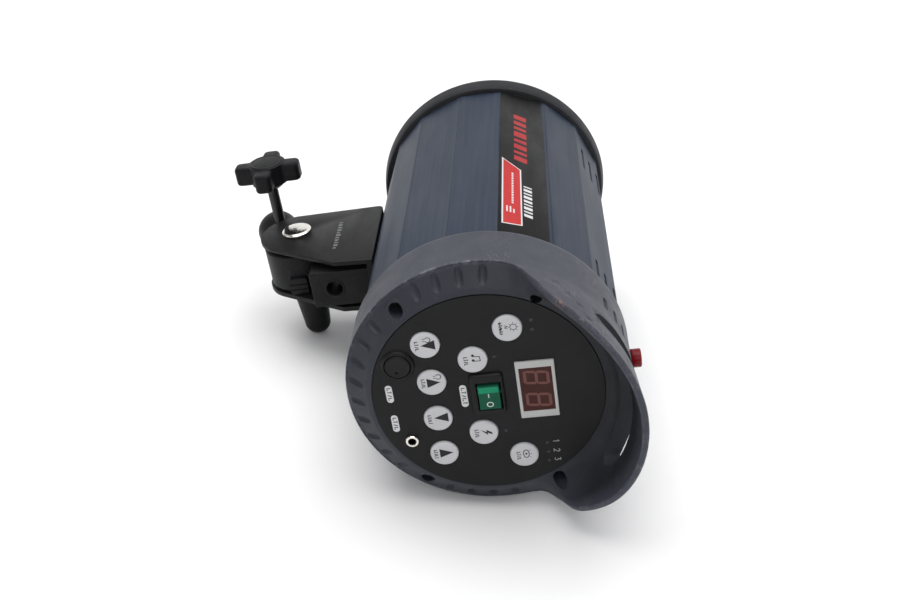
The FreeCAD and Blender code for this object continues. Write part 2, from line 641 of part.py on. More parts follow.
# ring flash tube: 328 degree loop with its two legs through the base plate
ring_rot = FreeCAD.Rotation(V(1, 0, 0), -90).multiply(FreeCAD.Rotation(V(0, 0, 1), 90 + 15.8))
loop = torus(34.4, 3.8, 0, 208.0, 0, 328.4, ring_rot)
legs = [cyl(3.5, 24.0, xx, 184.0, -33.1) for xx in (-9.4, 9.4)]
elbows = [ball(4.05, xx, 208.0, -33.1) for xx in (-9.4, 9.4)]
finish(fuse(loop, *(legs + elbows)), "flash_tube")
sup = []
for a in (0, 90, 270):
    x, z = polar_xz(34.5, a)
    sup.append(cyl(1.2, 14.2, x, 189.8, z))
finish(group(*sup), "tube_supports")

finish(cut(fuse(cyl(19.0, 6.0, 0, 172.0, 0), cyl(17.5, 22.0, 0, 177.0, 0)), cyl(13.4, 22.5, 0, 177.5, 0)), "lamp_holder")
b = body("lamp_cap")
s = sketch(b, "YZ_Plane")
pts = [(181.0, 0), (181.0, 4.5), (183.0, 10.0), (185.0, 12.6)]
for i in range(3):
    y = 185.5 + 4.0 * i
    pts += [(y, 12.2), (y + 1.2, 13.2), (y + 2.4, 13.2), (y + 3.4, 12.2)]
pts += [(198.0, 12.6), (203.0, 12.6), (203.0, 0)]
poly(s, pts)
revolve(b, s)
finish(b, "lamp_cap")
b = body("lamp_glass")
s = sketch(b, "YZ_Plane")
prof = [(203.1, 12.4), (208.0, 13.6), (214.0, 17.2), (220.0, 20.8), (226.0, 22.6), (231.0, 22.6), (236.0, 20.6), (240.0, 16.6), (242.6, 11.4), (243.8, 5.6), (244.0, 0),
        (242.8, 0), (242.6, 5.4), (241.4, 10.8), (239.0, 15.8), (235.4, 19.5), (231.0, 21.4), (226.0, 21.4), (220.0, 19.6), (214.0, 16.0), (208.0, 12.4), (203.1, 11.2)]
poly(s, prof)
revolve(b, s)
finish(b, "lamp_glass")

# ================================================================= label strip on the upper left wide facet
lab = box(-12.75, 10.7, 34.2, 201.0, num(tube_rad) * math.cos(rad(wide_half)) + 0.02, num(tube_rad) * math.cos(rad(wide_half)) + 0.42)
finish(lab, "label_strip", FreeCAD.Placement(V(0, 0, 0), FreeCAD.Rotation(V(0, 1, 0), -67.5)))

# ================================================================= mains inlet in the lower right facet
flat = num(tube_rad) * math.cos(rad(wide_half))
turn = FreeCAD.Placement(V(0, inlet_y, 0), inlet_turn)
finish(cut(fuse(box(-11.4, 11.4, -15.0, 15.0, flat + 0.05, flat + 2.3), box(-9.7, 9.7, -13.4, 13.4, 40.0, flat + 0.1)),
           box(-8.0, 8.0, -12.0, 12.0, 44.0, 70.0), *[box(-2.05, 2.05, yy - 1.05, yy + 1.05, 30, 60) for yy in (-7, 0, 7)]), "mains_inlet", turn)
finish(group(*[box(-2.0, 2.0, yy - 1.0, yy + 1.0, 34.0, 57.0) for yy in (-7, 0, 7)]), "inlet_blades", turn)

# ================================================================= tilt bracket
base_top = -(num(tube_rad) * math.cos(math.radians(22.5 - num(wide_half)))) - 0.05


def ear_outline(s):
    # the ear seen from the side: straight front edge, kinked rear edge, round end about the pivot
    c = V(num(pivot_y), num(pivot_z), 0)
    r = num(ear_rad)
    K = V(108.6, -79.8, 0)
    d = c - K
    L = d.Length
    base = math.atan2(d.y, d.x)
    tang = math.asin(r / L)
    t_len = math.sqrt(L * L - r * r)
    T = K + V(math.cos(base - tang), math.sin(base - tang), 0) * t_len
    F = V(c.x + r * math.cos(math.radians(-6)), c.y + r * math.sin(math.radians(-6)), 0)
    topf = V(169.6, base_top, 0)
    topb = V(107.4, base_top, 0)
    a0 = math.atan2(T.y - c.y, T.x - c.x)
    a1 = math.radians(-6)
    mid = 0.5 * (a0 + a1)
    M = V(c.x + r * math.cos(mid), c.y + r * math.sin(mid), 0)
    s.addGeometry(Part.LineSegment(topb, K), False)
    s.addGeometry(Part.LineSegment(K, T), False)
    s.addGeometry(Part.Arc(T, M, F), False)
    s.addGeometry(Part.LineSegment(F, topf), False)
    s.addGeometry(Part.LineSegment(topf, topb), False)


b = body("tilt_bracket")
s = sketch(b, "YZ_Plane")
ear_outline(s)
pad(b, s, 2 * ear_out, both=True)
doc.recompute()
# open the channel between the ears below the base web
s = sketch(b, "XZ_Plane", -100.0)
rect(s, -ear_in, ear_in, -135.0, base_top - 3.2)
pocket(b, s, 80.0, reverse=False)
bolt_hole = cyl(bolt_rad + 0.1, 40, -20, pivot_y, pivot_z, "X")
tap = [cyl(1.9, 6, sx, y, base_top - 4, "Z") for y in (136.0, 162.0) for sx in (-6.5, 6.5)]
finish(cut(b, bolt_hole, *tap), "tilt_bracket")
finish(group(*[fuse(cyl(3.0, 1.8, sx, y, base_top - 5.1, "Z"), cyl(1.55, 8.5, sx, y, base_top - 3.4, "Z")) for y in (136.0, 162.0) for sx in (-6.5, 6.5)]),
       "bracket_screws")
finish(cut(box(-(ear_in - 0.05), ear_in - 0.05, 108.0, 128.0, -94.0, base_top - 3.25), cyl(umbrella_rad, 30, 0, 103, umbrella_z)), "umbrella_block")

# chrome tilt bolt through both ears, and the washer under the handle
finish(fuse(cyl(8.0, 1.5, -(ear_out + 1.55), pivot_y, pivot_z, "X"), cone(6.6, 8.0, 0.7, -(ear_out + 2.25), pivot_y, pivot_z, "X"),
            cyl(bolt_rad, 38.4, -(ear_out + 0.2), pivot_y, pivot_z, "X")), "tilt_bolt")
finish(cut(cyl(9.0, 1.2, ear_out + 0.05, pivot_y, pivot_z, "X"), cyl(bolt_rad + 0.1, 5, 12, pivot_y, pivot_z, "X")), "handle_washer")

# ================================================================= tilting head: drum and stand socket
b = body("tilt_head")
s = sketch(b, "YZ_Plane")
circle(s, pivot_y, pivot_z, drum_rad)
pad(b, s, 19.0, both=True)
doc.recompute()
ang = num(barrel_ang)
tilt_rot = FreeCAD.Rotation(V(1, 0, 0), ang)          # turns +Y towards the socket's direction
to_barrel = FreeCAD.Placement(V(0, num(pivot_y), num(pivot_z)), tilt_rot)


def on_barrel(obj):
    for ax in "xyz":
        obj.setExpression("Placement.Base.%s" % ax, None)
    obj.Placement = to_barrel.multiply(obj.Placement)
    return obj


barrel = on_barrel(cyl(barrel_rad, barrel_len, 0, 0, 0))
stud = on_barrel(cyl(6.4, 12.0, -16.0, stud_dist, 0, "X"))
stud_slope = on_barrel(cone(5.2, 6.4, 1.2, -17.2, stud_dist, 0, "X"))
bore = on_barrel(cyl(socket_rad, barrel_len, 0, socket_start, 0))
stud_hole = on_barrel(cyl(3.06, 14.0, -19.0, stud_dist, 0, "X"))
pivot_hole = cyl(bolt_rad + 0.06, 40, -20, pivot_y, pivot_z, "X")
finish(cut(fuse(b, barrel, stud, stud_slope), bore, stud_hole, pivot_hole), "tilt_head")
wash = []
for x0 in (9.52, -10.0):
    wash.append(cut(cyl(16.0, 0.48, x0, pivot_y, pivot_z, "X"), cyl(bolt_rad + 0.3, 5, x0 - 2, pivot_y, pivot_z, "X"),
                    on_barrel(cyl(barrel_rad + 0.02, 20.0, 0, 0, 0))))
finish(group(*wash), "friction_washers")

# ================================================================= cross knob and its screw
b = body("stand_knob")
s = sketch(b, "YZ_Plane", -45.6)
circle(s, 0, 0, 9.4)
pad(b, s, 11.6)
arm = sketch(b, "YZ_Plane", -44.9)
rect(arm, 0, knob_rad, -4.6, 4.6)
armpad = pad(b, arm, 10.2)
polar(b, armpad, arm, 4, "N_Axis")
doc.recompute()
knob_core = b
knob_edge = cyl(knob_rad, 14, -47, 0, 0, "X")
neck = cone(7.2, 5.2, 3.0, -34.0, 0, 0, "X")
crown = cyl(7.6, 0.8, -46.3, 0, 0, "X")
knob = cut(fuse(common(knob_core, knob_edge), neck, crown), cyl(3.05, 10, -40, 0, 0, "X"))
stud_place = to_barrel.multiply(FreeCAD.Placement(V(0, num(stud_dist), 0), FreeCAD.Rotation(V(1, 0, 0), -ang)))
finish(knob, "stand_knob", stud_place)
finish(cyl(3.0, 31.6, -39.95, 0, 0, "X"), "stand_screw", stud_place)

# ================================================================= tilt locking handle
b = body("tilt_handle")
s = sketch(b, "XZ_Plane", 0)
hx0 = num(ear_out) + 1.55
tip = num(grip_end)
rt = 7.0
poly_pts = [(hx0, 0), (hx0, 9.0), (hx0 + 0.6, 9.6), (24.0, 9.6), (24.6, 9.0), (25.2, 9.0), (tip - 6.0, rt + 0.15)]
for k in range(1, 9):
    q = math.radians(90.0 * k / 8)
    poly_pts.append((tip - 6.0 + 6.0 * math.sin(q), (rt + 0.15) * math.cos(q) if k < 8 else 0.0))
poly(s, poly_pts)
r = revolve(b, s)
doc.recompute()
ribs = sketch(b, "YZ_Plane", hx0 - 0.5)
circle(ribs, 0, 10.1, 0.95)
rib_cut = b.newObject("PartDesign::Pocket", "rib_cut")
rib_cut.Profile = ribs
rib_cut.Length = 8.6
rib_cut.Reversed = True
b.Tip = rib_cut
doc.recompute()
polar(b, rib_cut, ribs, 20, "N_Axis")
finish(cut(b, cyl(6.05, 12.0, hx0 - 1, 0, 0, "X")), "tilt_handle", FreeCAD.Placement(V(0, num(pivot_y), num(pivot_z)), FreeCAD.Rotation()))
finish(cut(cyl(6.0, 10.8, hx0 + 0.1, pivot_y, pivot_z, "X"), cyl(bolt_rad + 0.05, 9.6, hx0 - 0.5, pivot_y, pivot_z, "X")), "handle_insert")

# ---------------------------------------------------------------- check and write
doc.recompute()
bad = []
for o in doc.Objects:
    if any(k in ("Invalid", "Error") for k in o.State):
        bad.append((o.Name, o.State))
for o in nodes:
    if o.Shape.isNull() or not o.Shape.isValid() or o.Shape.Volume <= 0:
        bad.append((o.Label, "shape"))
if bad:
    raise RuntimeError("failed objects: %s" % bad)
names = [o.Label for o in nodes]
if len(set(names)) != len(names) or len(names) > 60:
    raise RuntimeError("node names")
os.makedirs("parts", exist_ok=True)
total = Part.makeCompound([o.Shape for o in nodes]).BoundBox
print("nodes %d  box x %.2f..%.2f y %.2f..%.2f z %.2f..%.2f" % (len(names), total.XMin, total.XMax, total.YMin, total.YMax, total.ZMin, total.ZMax))
for o in nodes:
    o.Shape.exportStep("parts/%s.step" % o.Label)
    print("%-18s volume %10.1f solids %d" % (o.Label, o.Shape.Volume, len(o.Shape.Solids)))
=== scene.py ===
import bpy, bmesh, math
from mathutils import Matrix, Vector


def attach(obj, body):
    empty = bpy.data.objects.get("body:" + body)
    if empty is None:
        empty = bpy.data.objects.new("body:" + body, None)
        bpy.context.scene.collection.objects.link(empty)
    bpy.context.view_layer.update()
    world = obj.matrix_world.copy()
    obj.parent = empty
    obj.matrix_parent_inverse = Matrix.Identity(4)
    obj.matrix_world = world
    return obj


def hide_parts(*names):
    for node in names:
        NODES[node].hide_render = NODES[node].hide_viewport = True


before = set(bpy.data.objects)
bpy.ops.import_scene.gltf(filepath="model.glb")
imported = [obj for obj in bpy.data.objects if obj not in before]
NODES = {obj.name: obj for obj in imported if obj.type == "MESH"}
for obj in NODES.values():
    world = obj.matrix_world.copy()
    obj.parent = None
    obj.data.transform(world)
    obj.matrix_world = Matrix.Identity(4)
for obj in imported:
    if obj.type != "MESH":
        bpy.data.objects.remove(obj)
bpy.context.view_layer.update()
COLL = bpy.context.scene.collection
pi = math.pi

# ------------------------------------------------------------------ frames
# Head axes: X right seen from behind, Y forward along the light, Z up in use, origin in the panel plane, mm.
RHO = math.radians(8.15)
SR, CR = math.sin(RHO), math.cos(RHO)
HEAD = Matrix(((SR * 0.001, 0, CR * 0.001, 0.038104),
               (0, 0.001, 0, -0.1065),
               (-CR * 0.001, 0, SR * 0.001, 0.0634),
               (0, 0, 0, 1)))
HEAD_INV = HEAD.inverted()


def T(x=0.0, y=0.0, z=0.0): return Matrix.Translation((x, y, z))
def rotx(a): return Matrix.Rotation(math.radians(a), 4, "X")
def roty(a): return Matrix.Rotation(math.radians(a), 4, "Y")
def rotz(a): return Matrix.Rotation(math.radians(a), 4, "Z")


def lerp(a, b, k): return a + (b - a) * k


def sstep(a, b, x):
    k = max(0.0, min(1.0, (x - a) / (b - a)))
    return k * k * (3 - 2 * k)


# ------------------------------------------------------------------ camera, floor and light
def make_stage():
    sc = bpy.context.scene
    cam = bpy.data.cameras.new("camera")
    cam.lens = 46.0336
    cam.sensor_width = 36.0
    cam.clip_start = 0.01
    cam.clip_end = 50
    co = bpy.data.objects.new("camera", cam)
    r, u, f = Vector((0.999002, 0.044673, 0.0)), Vector((-0.023022, 0.514846, 0.856973)), Vector((-0.038283, 0.856118, -0.515361))
    m = Matrix.Identity(4)
    for i in range(3):
        m[i][0], m[i][1], m[i][2] = r[i], u[i], -f[i]
    m[0][3], m[1][3], m[2][3] = 0.0396818, -0.5082989, 0.3524957
    co.matrix_world = m
    COLL.objects.link(co)
    sc.camera = co

    # one sweep: flat floor that rises in a wide curve behind
    prof = [(-3.2, 0.0), (0.40, 0.0)]
    for i in range(1, 19):
        a = math.radians(90 * i / 18)
        prof.append((0.40 + 0.6 * math.sin(a), 0.6 - 0.6 * math.cos(a)))
    prof.append((1.0, 4.2))
    verts = [(x, y, z - 0.0002) for x in (-4.0, 4.0) for y, z in prof]
    n = len(prof)
    me = bpy.data.meshes.new("sweep")
    me.from_pydata(verts, [], [(i, n + i, n + i + 1, i + 1) for i in range(n - 1)])
    for p in me.polygons:
        p.use_smooth = True
    fl = bpy.data.objects.new("sweep", me)
    COLL.objects.link(fl)
    mt = bpy.data.materials.new("sweep_paper")
    mt.use_nodes = True
    b = mt.node_tree.nodes["Principled BSDF"]
    b.inputs["Base Color"].default_value = (0.90, 0.90, 0.905, 1)
    b.inputs["Roughness"].default_value = 0.85
    b.inputs["Specular IOR Level"].default_value = 0.15
    me.materials.append(mt)

    def area(name, loc, target, size, size_y, power, color=(1, 1, 1)):
        l = bpy.data.lights.new(name, "AREA")
        l.shape = "RECTANGLE"
        l.size, l.size_y, l.energy, l.color = size, size_y, power, color
        o = bpy.data.objects.new(name, l)
        o.location = loc
        o.rotation_euler = (Vector(target) - Vector(loc)).to_track_quat("-Z", "Y").to_euler()
        COLL.objects.link(o)
        return o

    area("top_soft", (0.0, -0.05, 1.9), (0.0, -0.05, 0.0), 2.0, 1.7, 34, (1.0, 0.995, 0.985))
    area("front_soft", (0.25, -1.7, 1.15), (0.0, -0.1, 0.05), 1.5, 1.1, 8.5, (1.0, 0.995, 0.99))
    area("left_soft", (-1.6, -0.1, 0.9), (0.0, 0.0, 0.06), 1.0, 1.0, 2.0, (0.97, 0.98, 1.0))
    area("right_soft", (1.6, 0.1, 0.9), (0.0, 0.0, 0.06), 1.0, 1.0, 3.4, (0.97, 0.98, 1.0))

    w = bpy.data.worlds.new("room")
    sc.world = w
    w.use_nodes = True
    w.node_tree.nodes["Background"].inputs["Color"].default_value = (0.97, 0.98, 1.0, 1)
    w.node_tree.nodes["Background"].inputs["Strength"].default_value = 0.29
    sc.view_settings.view_transform = "Standard"
    sc.view_settings.look = "None"


make_stage()


# ------------------------------------------------------------------ materials
class G:
    """A small writer of node trees; every texture reads the piece's own coordinates, in metres."""

    def __init__(self, name):
        self.m = bpy.data.materials.new(name)
        self.m.use_nodes = True
        self.nt = self.m.node_tree
        self.b = self.nt.nodes["Principled BSDF"]
        self.tc = self.nt.nodes.new("ShaderNodeTexCoord")
        self.co = self.tc.outputs["Object"]

    def add(self, kind, **kw):
        n = self.nt.nodes.new(kind)
        for k, v in kw.items():
            setattr(n, k, v)
        return n

    def link(self, a, b): self.nt.links.new(a, b)

    def set(self, **kw):
        names = {"metal": "Metallic", "rough": "Roughness", "spec": "Specular IOR Level", "ior": "IOR", "coat": "Coat Weight",
                 "coat_rough": "Coat Roughness", "trans": "Transmission Weight", "sss": "Subsurface Weight", "aniso": "Anisotropic",
                 "sheen": "Sheen Weight", "sheen_rough": "Sheen Roughness", "alpha": "Alpha"}
        for k, v in kw.items():
            self.b.inputs[names[k]].default_value = v
        return self

    def coords(self, scale=(1, 1, 1), turn=None):
        if scale == (1, 1, 1) and turn is None:
            return self.co
        mp = self.add("ShaderNodeMapping")
        mp.inputs["Scale"].default_value = scale
        if turn:
            mp.inputs["Rotation"].default_value = [math.radians(a) for a in turn]
        self.link(self.co, mp.inputs["Vector"])
        return mp.outputs["Vector"]

    def noise(self, scale, detail=3.0, rough=0.55, stretch=(1, 1, 1), turn=None, dist=0.0):
        n = self.add("ShaderNodeTexNoise")
        n.inputs["Scale"].default_value = scale
        n.inputs["Detail"].default_value = detail
        n.inputs["Roughness"].default_value = rough
        n.inputs["Distortion"].default_value = dist
        self.link(self.coords(stretch, turn), n.inputs["Vector"])
        return n.outputs["Fac"]

    def voronoi(self, scale, feature="F1", stretch=(1, 1, 1)):
        n = self.add("ShaderNodeTexVoronoi", feature=feature)
        n.inputs["Scale"].default_value = scale
        self.link(self.coords(stretch), n.inputs["Vector"])
        return n.outputs["Distance"]

    def ramp(self, fac, lo, hi, a=0.0, b=1.0):
        n = self.add("ShaderNodeMapRange")
        n.inputs["From Min"].default_value = lo
        n.inputs["From Max"].default_value = hi
        n.inputs["To Min"].default_value = a
        n.inputs["To Max"].default_value = b
        n.clamp = True
        self.link(fac, n.inputs["Value"])
        return n.outputs["Result"]

    def math(self, op, a, b=None):
        n = self.add("ShaderNodeMath", operation=op)
        for i, v in enumerate((a, b)):
            if v is None:
                continue
            if isinstance(v, (int, float)):
                n.inputs[i].default_value = v
            else:
                self.link(v, n.inputs[i])
        return n.outputs[0]

    def mix(self, fac, a, b):
        n = self.add("ShaderNodeMix", data_type="RGBA")
        for sock, v in ((n.inputs["Factor"], fac), (n.inputs["A"], a), (n.inputs["B"], b)):
            if isinstance(v, (int, float)):
                sock.default_value = v
            elif isinstance(v, (tuple, list)):
                sock.default_value = (v[0], v[1], v[2], 1)
            else:
                self.link(v, sock)
        return n.outputs["Result"]

    def attr(self, name):
        n = self.add("ShaderNodeAttribute", attribute_name=name)
        n.attribute_type = "GEOMETRY"
        return n.outputs["Fac"]

    def color(self, c): self.link(c, self.b.inputs["Base Color"]); return self
    def rough(self, r): self.link(r, self.b.inputs["Roughness"]); return self

    def bump(self, layers, bevel=None):
        """layers: (height socket, strength, distance in metres)"""
        prev = None
        if bevel:
            bv = self.add("ShaderNodeBevel", samples=4)
            bv.inputs["Radius"].default_value = bevel
            prev = bv.outputs["Normal"]
        for h, s, d in layers:
            n = self.add("ShaderNodeBump")
            n.inputs["Strength"].default_value = s
            n.inputs["Distance"].default_value = d
            self.link(h, n.inputs["Height"])
            if prev is not None:
                self.link(prev, n.inputs["Normal"])
            prev = n.outputs["Normal"]
        if prev is not None:
            self.link(prev, self.b.inputs["Normal"])
        return self


def tint(c, k): return tuple(max(0.0, min(1.0, v * k)) for v in c)


def plastic(name, c, rough=0.5, spec=0.5, grain=2600.0, grain_h=0.00003, var=0.12, coat=0.0, bevel=0.0003, dust=0.06, sss=0.0, rvar=0.08, metal=0.0):
    """Moulded or painted surface: fine grain, cloudy tone, a little dust and rubbed roughness."""
    g = G(name)
    cloud = g.noise(38.0, 4.0)
    fine = g.noise(900.0, 2.0)
    base = g.mix(g.ramp(cloud, 0.3, 0.7), tint(c, 1 - var), tint(c, 1 + var))
    spot = g.ramp(fine, 0.62, 0.75, 0.0, dust)
    col = g.mix(spot, base, (0.45, 0.45, 0.46))
    g.color(col)
    rub = g.noise(70.0, 5.0, 0.65, (1, 0.35, 1))
    g.rough(g.ramp(rub, 0.3, 0.7, max(0.02, rough - rvar), min(1.0, rough + rvar)))
    g.set(spec=spec, coat=coat, sss=sss, metal=metal)
    g.bump([(g.noise(grain, 2.0), 0.35, grain_h), (g.noise(220.0, 3.0), 0.12, 0.0001)], bevel)
    return g.m


def make_cover_plastic():
    g = G("cover_moulded")
    c = (0.045, 0.048, 0.064)
    cloud = g.noise(26.0, 5.0, 0.6)
    base = g.mix(g.ramp(cloud, 0.28, 0.72), tint(c, 0.86), tint(c, 1.14))
    # chalky handling marks, scattered specks and rubbed edges
    haze = g.ramp(g.noise(55.0, 6.0, 0.7, (1, 0.6, 1)), 0.55, 0.8, 0.0, 0.10)
    base = g.mix(haze, base, (0.19, 0.195, 0.21))
    speck = g.ramp(g.noise(1500.0, 1.0, 0.4), 0.70, 0.76, 0.0, 0.35)
    patch = g.ramp(g.noise(60.0, 2.0), 0.5, 0.68)
    base = g.mix(g.math("MULTIPLY", speck, patch), base, (0.34, 0.34, 0.36))
    wear = g.attr("wear")
    chip = g.ramp(g.noise(420.0, 5.0, 0.75), 0.47, 0.60)
    place_n = g.ramp(g.noise(48.0, 3.0, 0.6), 0.42, 0.62)
    rub = g.math("MULTIPLY", g.math("MULTIPLY", wear, chip), g.math("ADD", g.math("MULTIPLY", place_n, 0.60), 0.07))
    base = g.mix(rub, base, (0.24, 0.24, 0.26))
    red = g.attr("chip")
    base = g.mix(g.math("MULTIPLY", red, g.ramp(g.noise(900.0, 3.0, 0.7), 0.42, 0.60, 0.0, 0.8)), base, (0.30, 0.16, 0.12))
    scr = g.attr("scratch")
    base = g.mix(g.math("MULTIPLY", scr, g.ramp(g.noise(1400.0, 3.0, 0.7, (1, 0.25, 1), (0, 0, 25)), 0.55, 0.66, 0.0, 0.55)), base, (0.26, 0.26, 0.28))
    # painted shade: near-black laid over the hood's inner wall, the screw wells and the carrying slot, where shade
    # falls
    base = g.mix(g.attr("hood_painted_shade"), base, (0.004, 0.0042, 0.0055))
    g.color(base)
    rr = g.ramp(g.noise(90.0, 5.0, 0.65), 0.3, 0.7, 0.42, 0.58)
    g.rough(rr)
    g.set(spec=0.25)
    g.bump([(g.noise(2300.0, 2.0), 0.4, 0.00003), (g.noise(300.0, 4.0), 0.15, 0.00009),
            (g.math("MULTIPLY", wear, chip), 0.2, 0.00008)], 0.0004)
    return g.m


def make_tube_paint():
    g = G("tube_enamel")
    c = (0.0145, 0.0240, 0.0445)
    cloud = g.noise(16.0, 4.0, 0.5, (1, 0.3, 1))
    base = g.mix(g.ramp(cloud, 0.3, 0.7), tint(c, 0.93), tint(c, 1.07))
    draw = g.noise(600.0, 2.0, 0.5, (1, 0.02, 1))
    base = g.mix(g.ramp(draw, 0.35, 0.75, 0.0, 0.08), base, (0.16, 0.17, 0.2))
    dust = g.ramp(g.noise(1700.0, 1.0), 0.70, 0.76, 0.0, 0.35)
    base = g.mix(g.math("MULTIPLY", dust, g.ramp(g.noise(40.0, 2.0), 0.45, 0.65)), base, (0.3, 0.3, 0.32))
    g.color(base)
    g.rough(g.ramp(g.noise(60.0, 5.0, 0.6, (1, 0.2, 1)), 0.3, 0.7, 0.42, 0.52))
    g.set(spec=0.15)
    g.bump([(g.noise(3000.0, 2.0), 0.25, 0.000018), (g.noise(420.0, 2.0, 0.5, (1, 0.05, 1)), 0.10, 0.00004), (g.noise(24.0, 2.0), 0.05, 0.0004)], 0.0004)
    return g.m


def metal(name, c, rough=0.25, brush=(1, 1, 1), tarnish=0.1, aniso=0.0):
    g = G(name)
    base = g.mix(g.ramp(g.noise(120.0, 5.0, 0.65), 0.35, 0.75, 0.0, tarnish * 3), c, tint(c, 0.6))
    g.color(base)
    g.rough(g.ramp(g.noise(700.0, 3.0, 0.6, brush), 0.3, 0.7, max(0.03, rough - 0.08), rough + 0.1))
    g.set(metal=1.0, aniso=aniso)
    g.bump([(g.noise(900.0, 3.0, 0.6, brush), 0.12, 0.00002)], 0.0002)
    return g.m


def glassy(name, c, rough=0.05, trans=1.0, frost=0.0):
    g = G(name)
    base = g.mix(g.ramp(g.noise(60.0, 3.0), 0.3, 0.7), tint(c, 0.97), c)
    g.color(base)
    g.rough(g.ramp(g.noise(300.0, 3.0), 0.3, 0.7, rough, rough + 0.05 + frost))
    g.set(trans=trans, ior=1.46)
    g.bump([(g.noise(160.0, 2.0), 0.04, 0.00005)])
    return g.m


MAT = {
    "cover": make_cover_plastic(),
    "tube": make_tube_paint(),
    "panel": plastic("panel_film", (0.0056, 0.0056, 0.0064), 0.45, 0.2, 3200.0, 0.000012, 0.08, bevel=0.0001, dust=0.008, rvar=0.05),
    "button": plastic("button_cap", (0.53, 0.53, 0.55), 0.5, 0.3, 3000.0, 0.00001, 0.03, dust=0.0, bevel=0.0002),
    "print_white": plastic("print_white", (0.62, 0.62, 0.63), 0.55, 0.25, 3000.0, 0.000006, 0.04, dust=0.0, bevel=None),
    "print_dark": plastic("print_dark", (0.020, 0.020, 0.023), 0.6, 0.2, 3000.0, 0.000006, 0.06, dust=0.0, bevel=None),
    "frame_white": plastic("display_frame", (0.46, 0.46, 0.455), 0.45, 0.3, 2800.0, 0.00001, 0.04, dust=0.02),
    "window": plastic("display_filter", (0.050, 0.015, 0.012), 0.26, 0.14, 3200.0, 0.000004, 0.06, coat=0.0, dust=0.0, bevel=None, rvar=0.04),
    "segment": plastic("segment_unlit", (0.135, 0.045, 0.036), 0.35, 0.3, 3000.0, 0.000003, 0.05, dust=0.0, bevel=None),
    "black": plastic("black_moulded", (0.0068, 0.0068, 0.0076), 0.42, 0.19, 2600.0, 0.00002, 0.12, dust=0.02),
    "black_fine": plastic("black_casting", (0.0072, 0.0072, 0.0086), 0.45, 0.16, 3400.0, 0.00004, 0.10, dust=0.03, bevel=0.0004),
    "bracket": plastic("bracket_enamel", (0.0080, 0.0080, 0.0088), 0.42, 0.15, 3000.0, 0.00003, 0.10, dust=0.03, bevel=0.0004),
    "knob": plastic("knob_moulded", (0.0070, 0.0070, 0.0083), 0.46, 0.15, 3400.0, 0.00005, 0.10, dust=0.04, bevel=0.0005),
    "ring": plastic("ring_enamel", (0.022, 0.0225, 0.026), 0.50, 0.13, 3000.0, 0.00003, 0.08, dust=0.04, bevel=0.0003),
    "rocker": plastic("rocker_green", (0.008, 0.085, 0.048), 0.42, 0.1, 3000.0, 0.000006, 0.10, coat=0.04, dust=0.0, bevel=0.0003, sss=0.06),
    # painted highlight: a paler copy of the rocker's green for its lit crest
    "rocker_painted_highlight": plastic("rocker_green_painted_highlight", (0.010, 0.260, 0.130), 0.42, 0.1, 3000.0, 0.000006, 0.06, coat=0.04, dust=0.0, bevel=None),
    "label": plastic("label_film", (0.0040, 0.0040, 0.0044), 0.45, 0.09, 3200.0, 0.000008, 0.05, dust=0.02, bevel=0.0001),
    "label_red": plastic("label_red", (0.44, 0.012, 0.012), 0.48, 0.2, 3200.0, 0.000006, 0.06, dust=0.0, bevel=None),
    "label_darkred": plastic("label_dark_red", (0.34, 0.012, 0.014), 0.48, 0.2, 3200.0, 0.000006, 0.06, dust=0.0, bevel=None),
    "smoke": plastic("smoked_lens", (0.016, 0.012, 0.012), 0.25, 0.3, 3000.0, 0.000004, 0.05, dust=0.0, coat=0.1),
    "board": plastic("circuit_board", (0.02, 0.10, 0.045), 0.35, 0.5, 1600.0, 0.00003, 0.2),
    "tan_board": plastic("insulating_board", (0.36, 0.24, 0.11), 0.6, 0.4, 1200.0, 0.00004, 0.18),
    "can": plastic("capacitor_sleeve", (0.02, 0.03, 0.10), 0.3, 0.5, 2600.0, 0.00001, 0.08),
    "coil": plastic("coil_winding", (0.20, 0.08, 0.03), 0.3, 0.5, 1800.0, 0.00006, 0.2),
    "fibre": plastic("fibre_washer", (0.10, 0.05, 0.028), 0.8, 0.3, 1200.0, 0.00006, 0.2),
    "ceramic": plastic("glazed_ceramic", (0.72, 0.69, 0.62), 0.2, 0.5, 2000.0, 0.00001, 0.03, coat=0.3, dust=0.0),
    "reflector": plastic("white_insulator", (0.72, 0.72, 0.70), 0.5, 0.4, 2400.0, 0.00002, 0.03, dust=0.02),
    "chrome": metal("chrome_plate", (0.80, 0.77, 0.72), 0.14, (1, 1, 1), 0.08),
    "steel": metal("zinc_steel", (0.48, 0.48, 0.49), 0.34, (1, 1, 1), 0.15),
    "dark_steel": metal("blackened_steel", (0.05, 0.05, 0.052), 0.42, (1, 1, 1), 0.1),
    "brass": metal("brass", (0.72, 0.52, 0.22), 0.25, (1, 1, 1), 0.2),
    "cap_metal": metal("cap_plated", (0.66, 0.64, 0.58), 0.28, (1, 1, 1), 0.2),
    "quartz": glassy("quartz", (0.96, 0.96, 0.94), 0.03, 0.95),
    "frosted": glassy("frosted_glass", (0.95, 0.94, 0.90), 0.32, 0.75, 0.1),
    "red_lens": plastic("red_lens", (0.13, 0.003, 0.006), 0.26, 0.16, 3000.0, 0.000004, 0.10, coat=0.05, dust=0.0, sss=0.15, bevel=None),
}


# ------------------------------------------------------------------ mesh helpers
def new_ob(name, verts, faces, M=HEAD, angle=32, merge=2e-6):
    me = bpy.data.meshes.new(name)
    me.from_pydata([M @ Vector(v) for v in verts], [], faces)
    ob = bpy.data.objects.new(name, me)
    COLL.objects.link(ob)
    tidy(ob, angle, merge)
    return ob


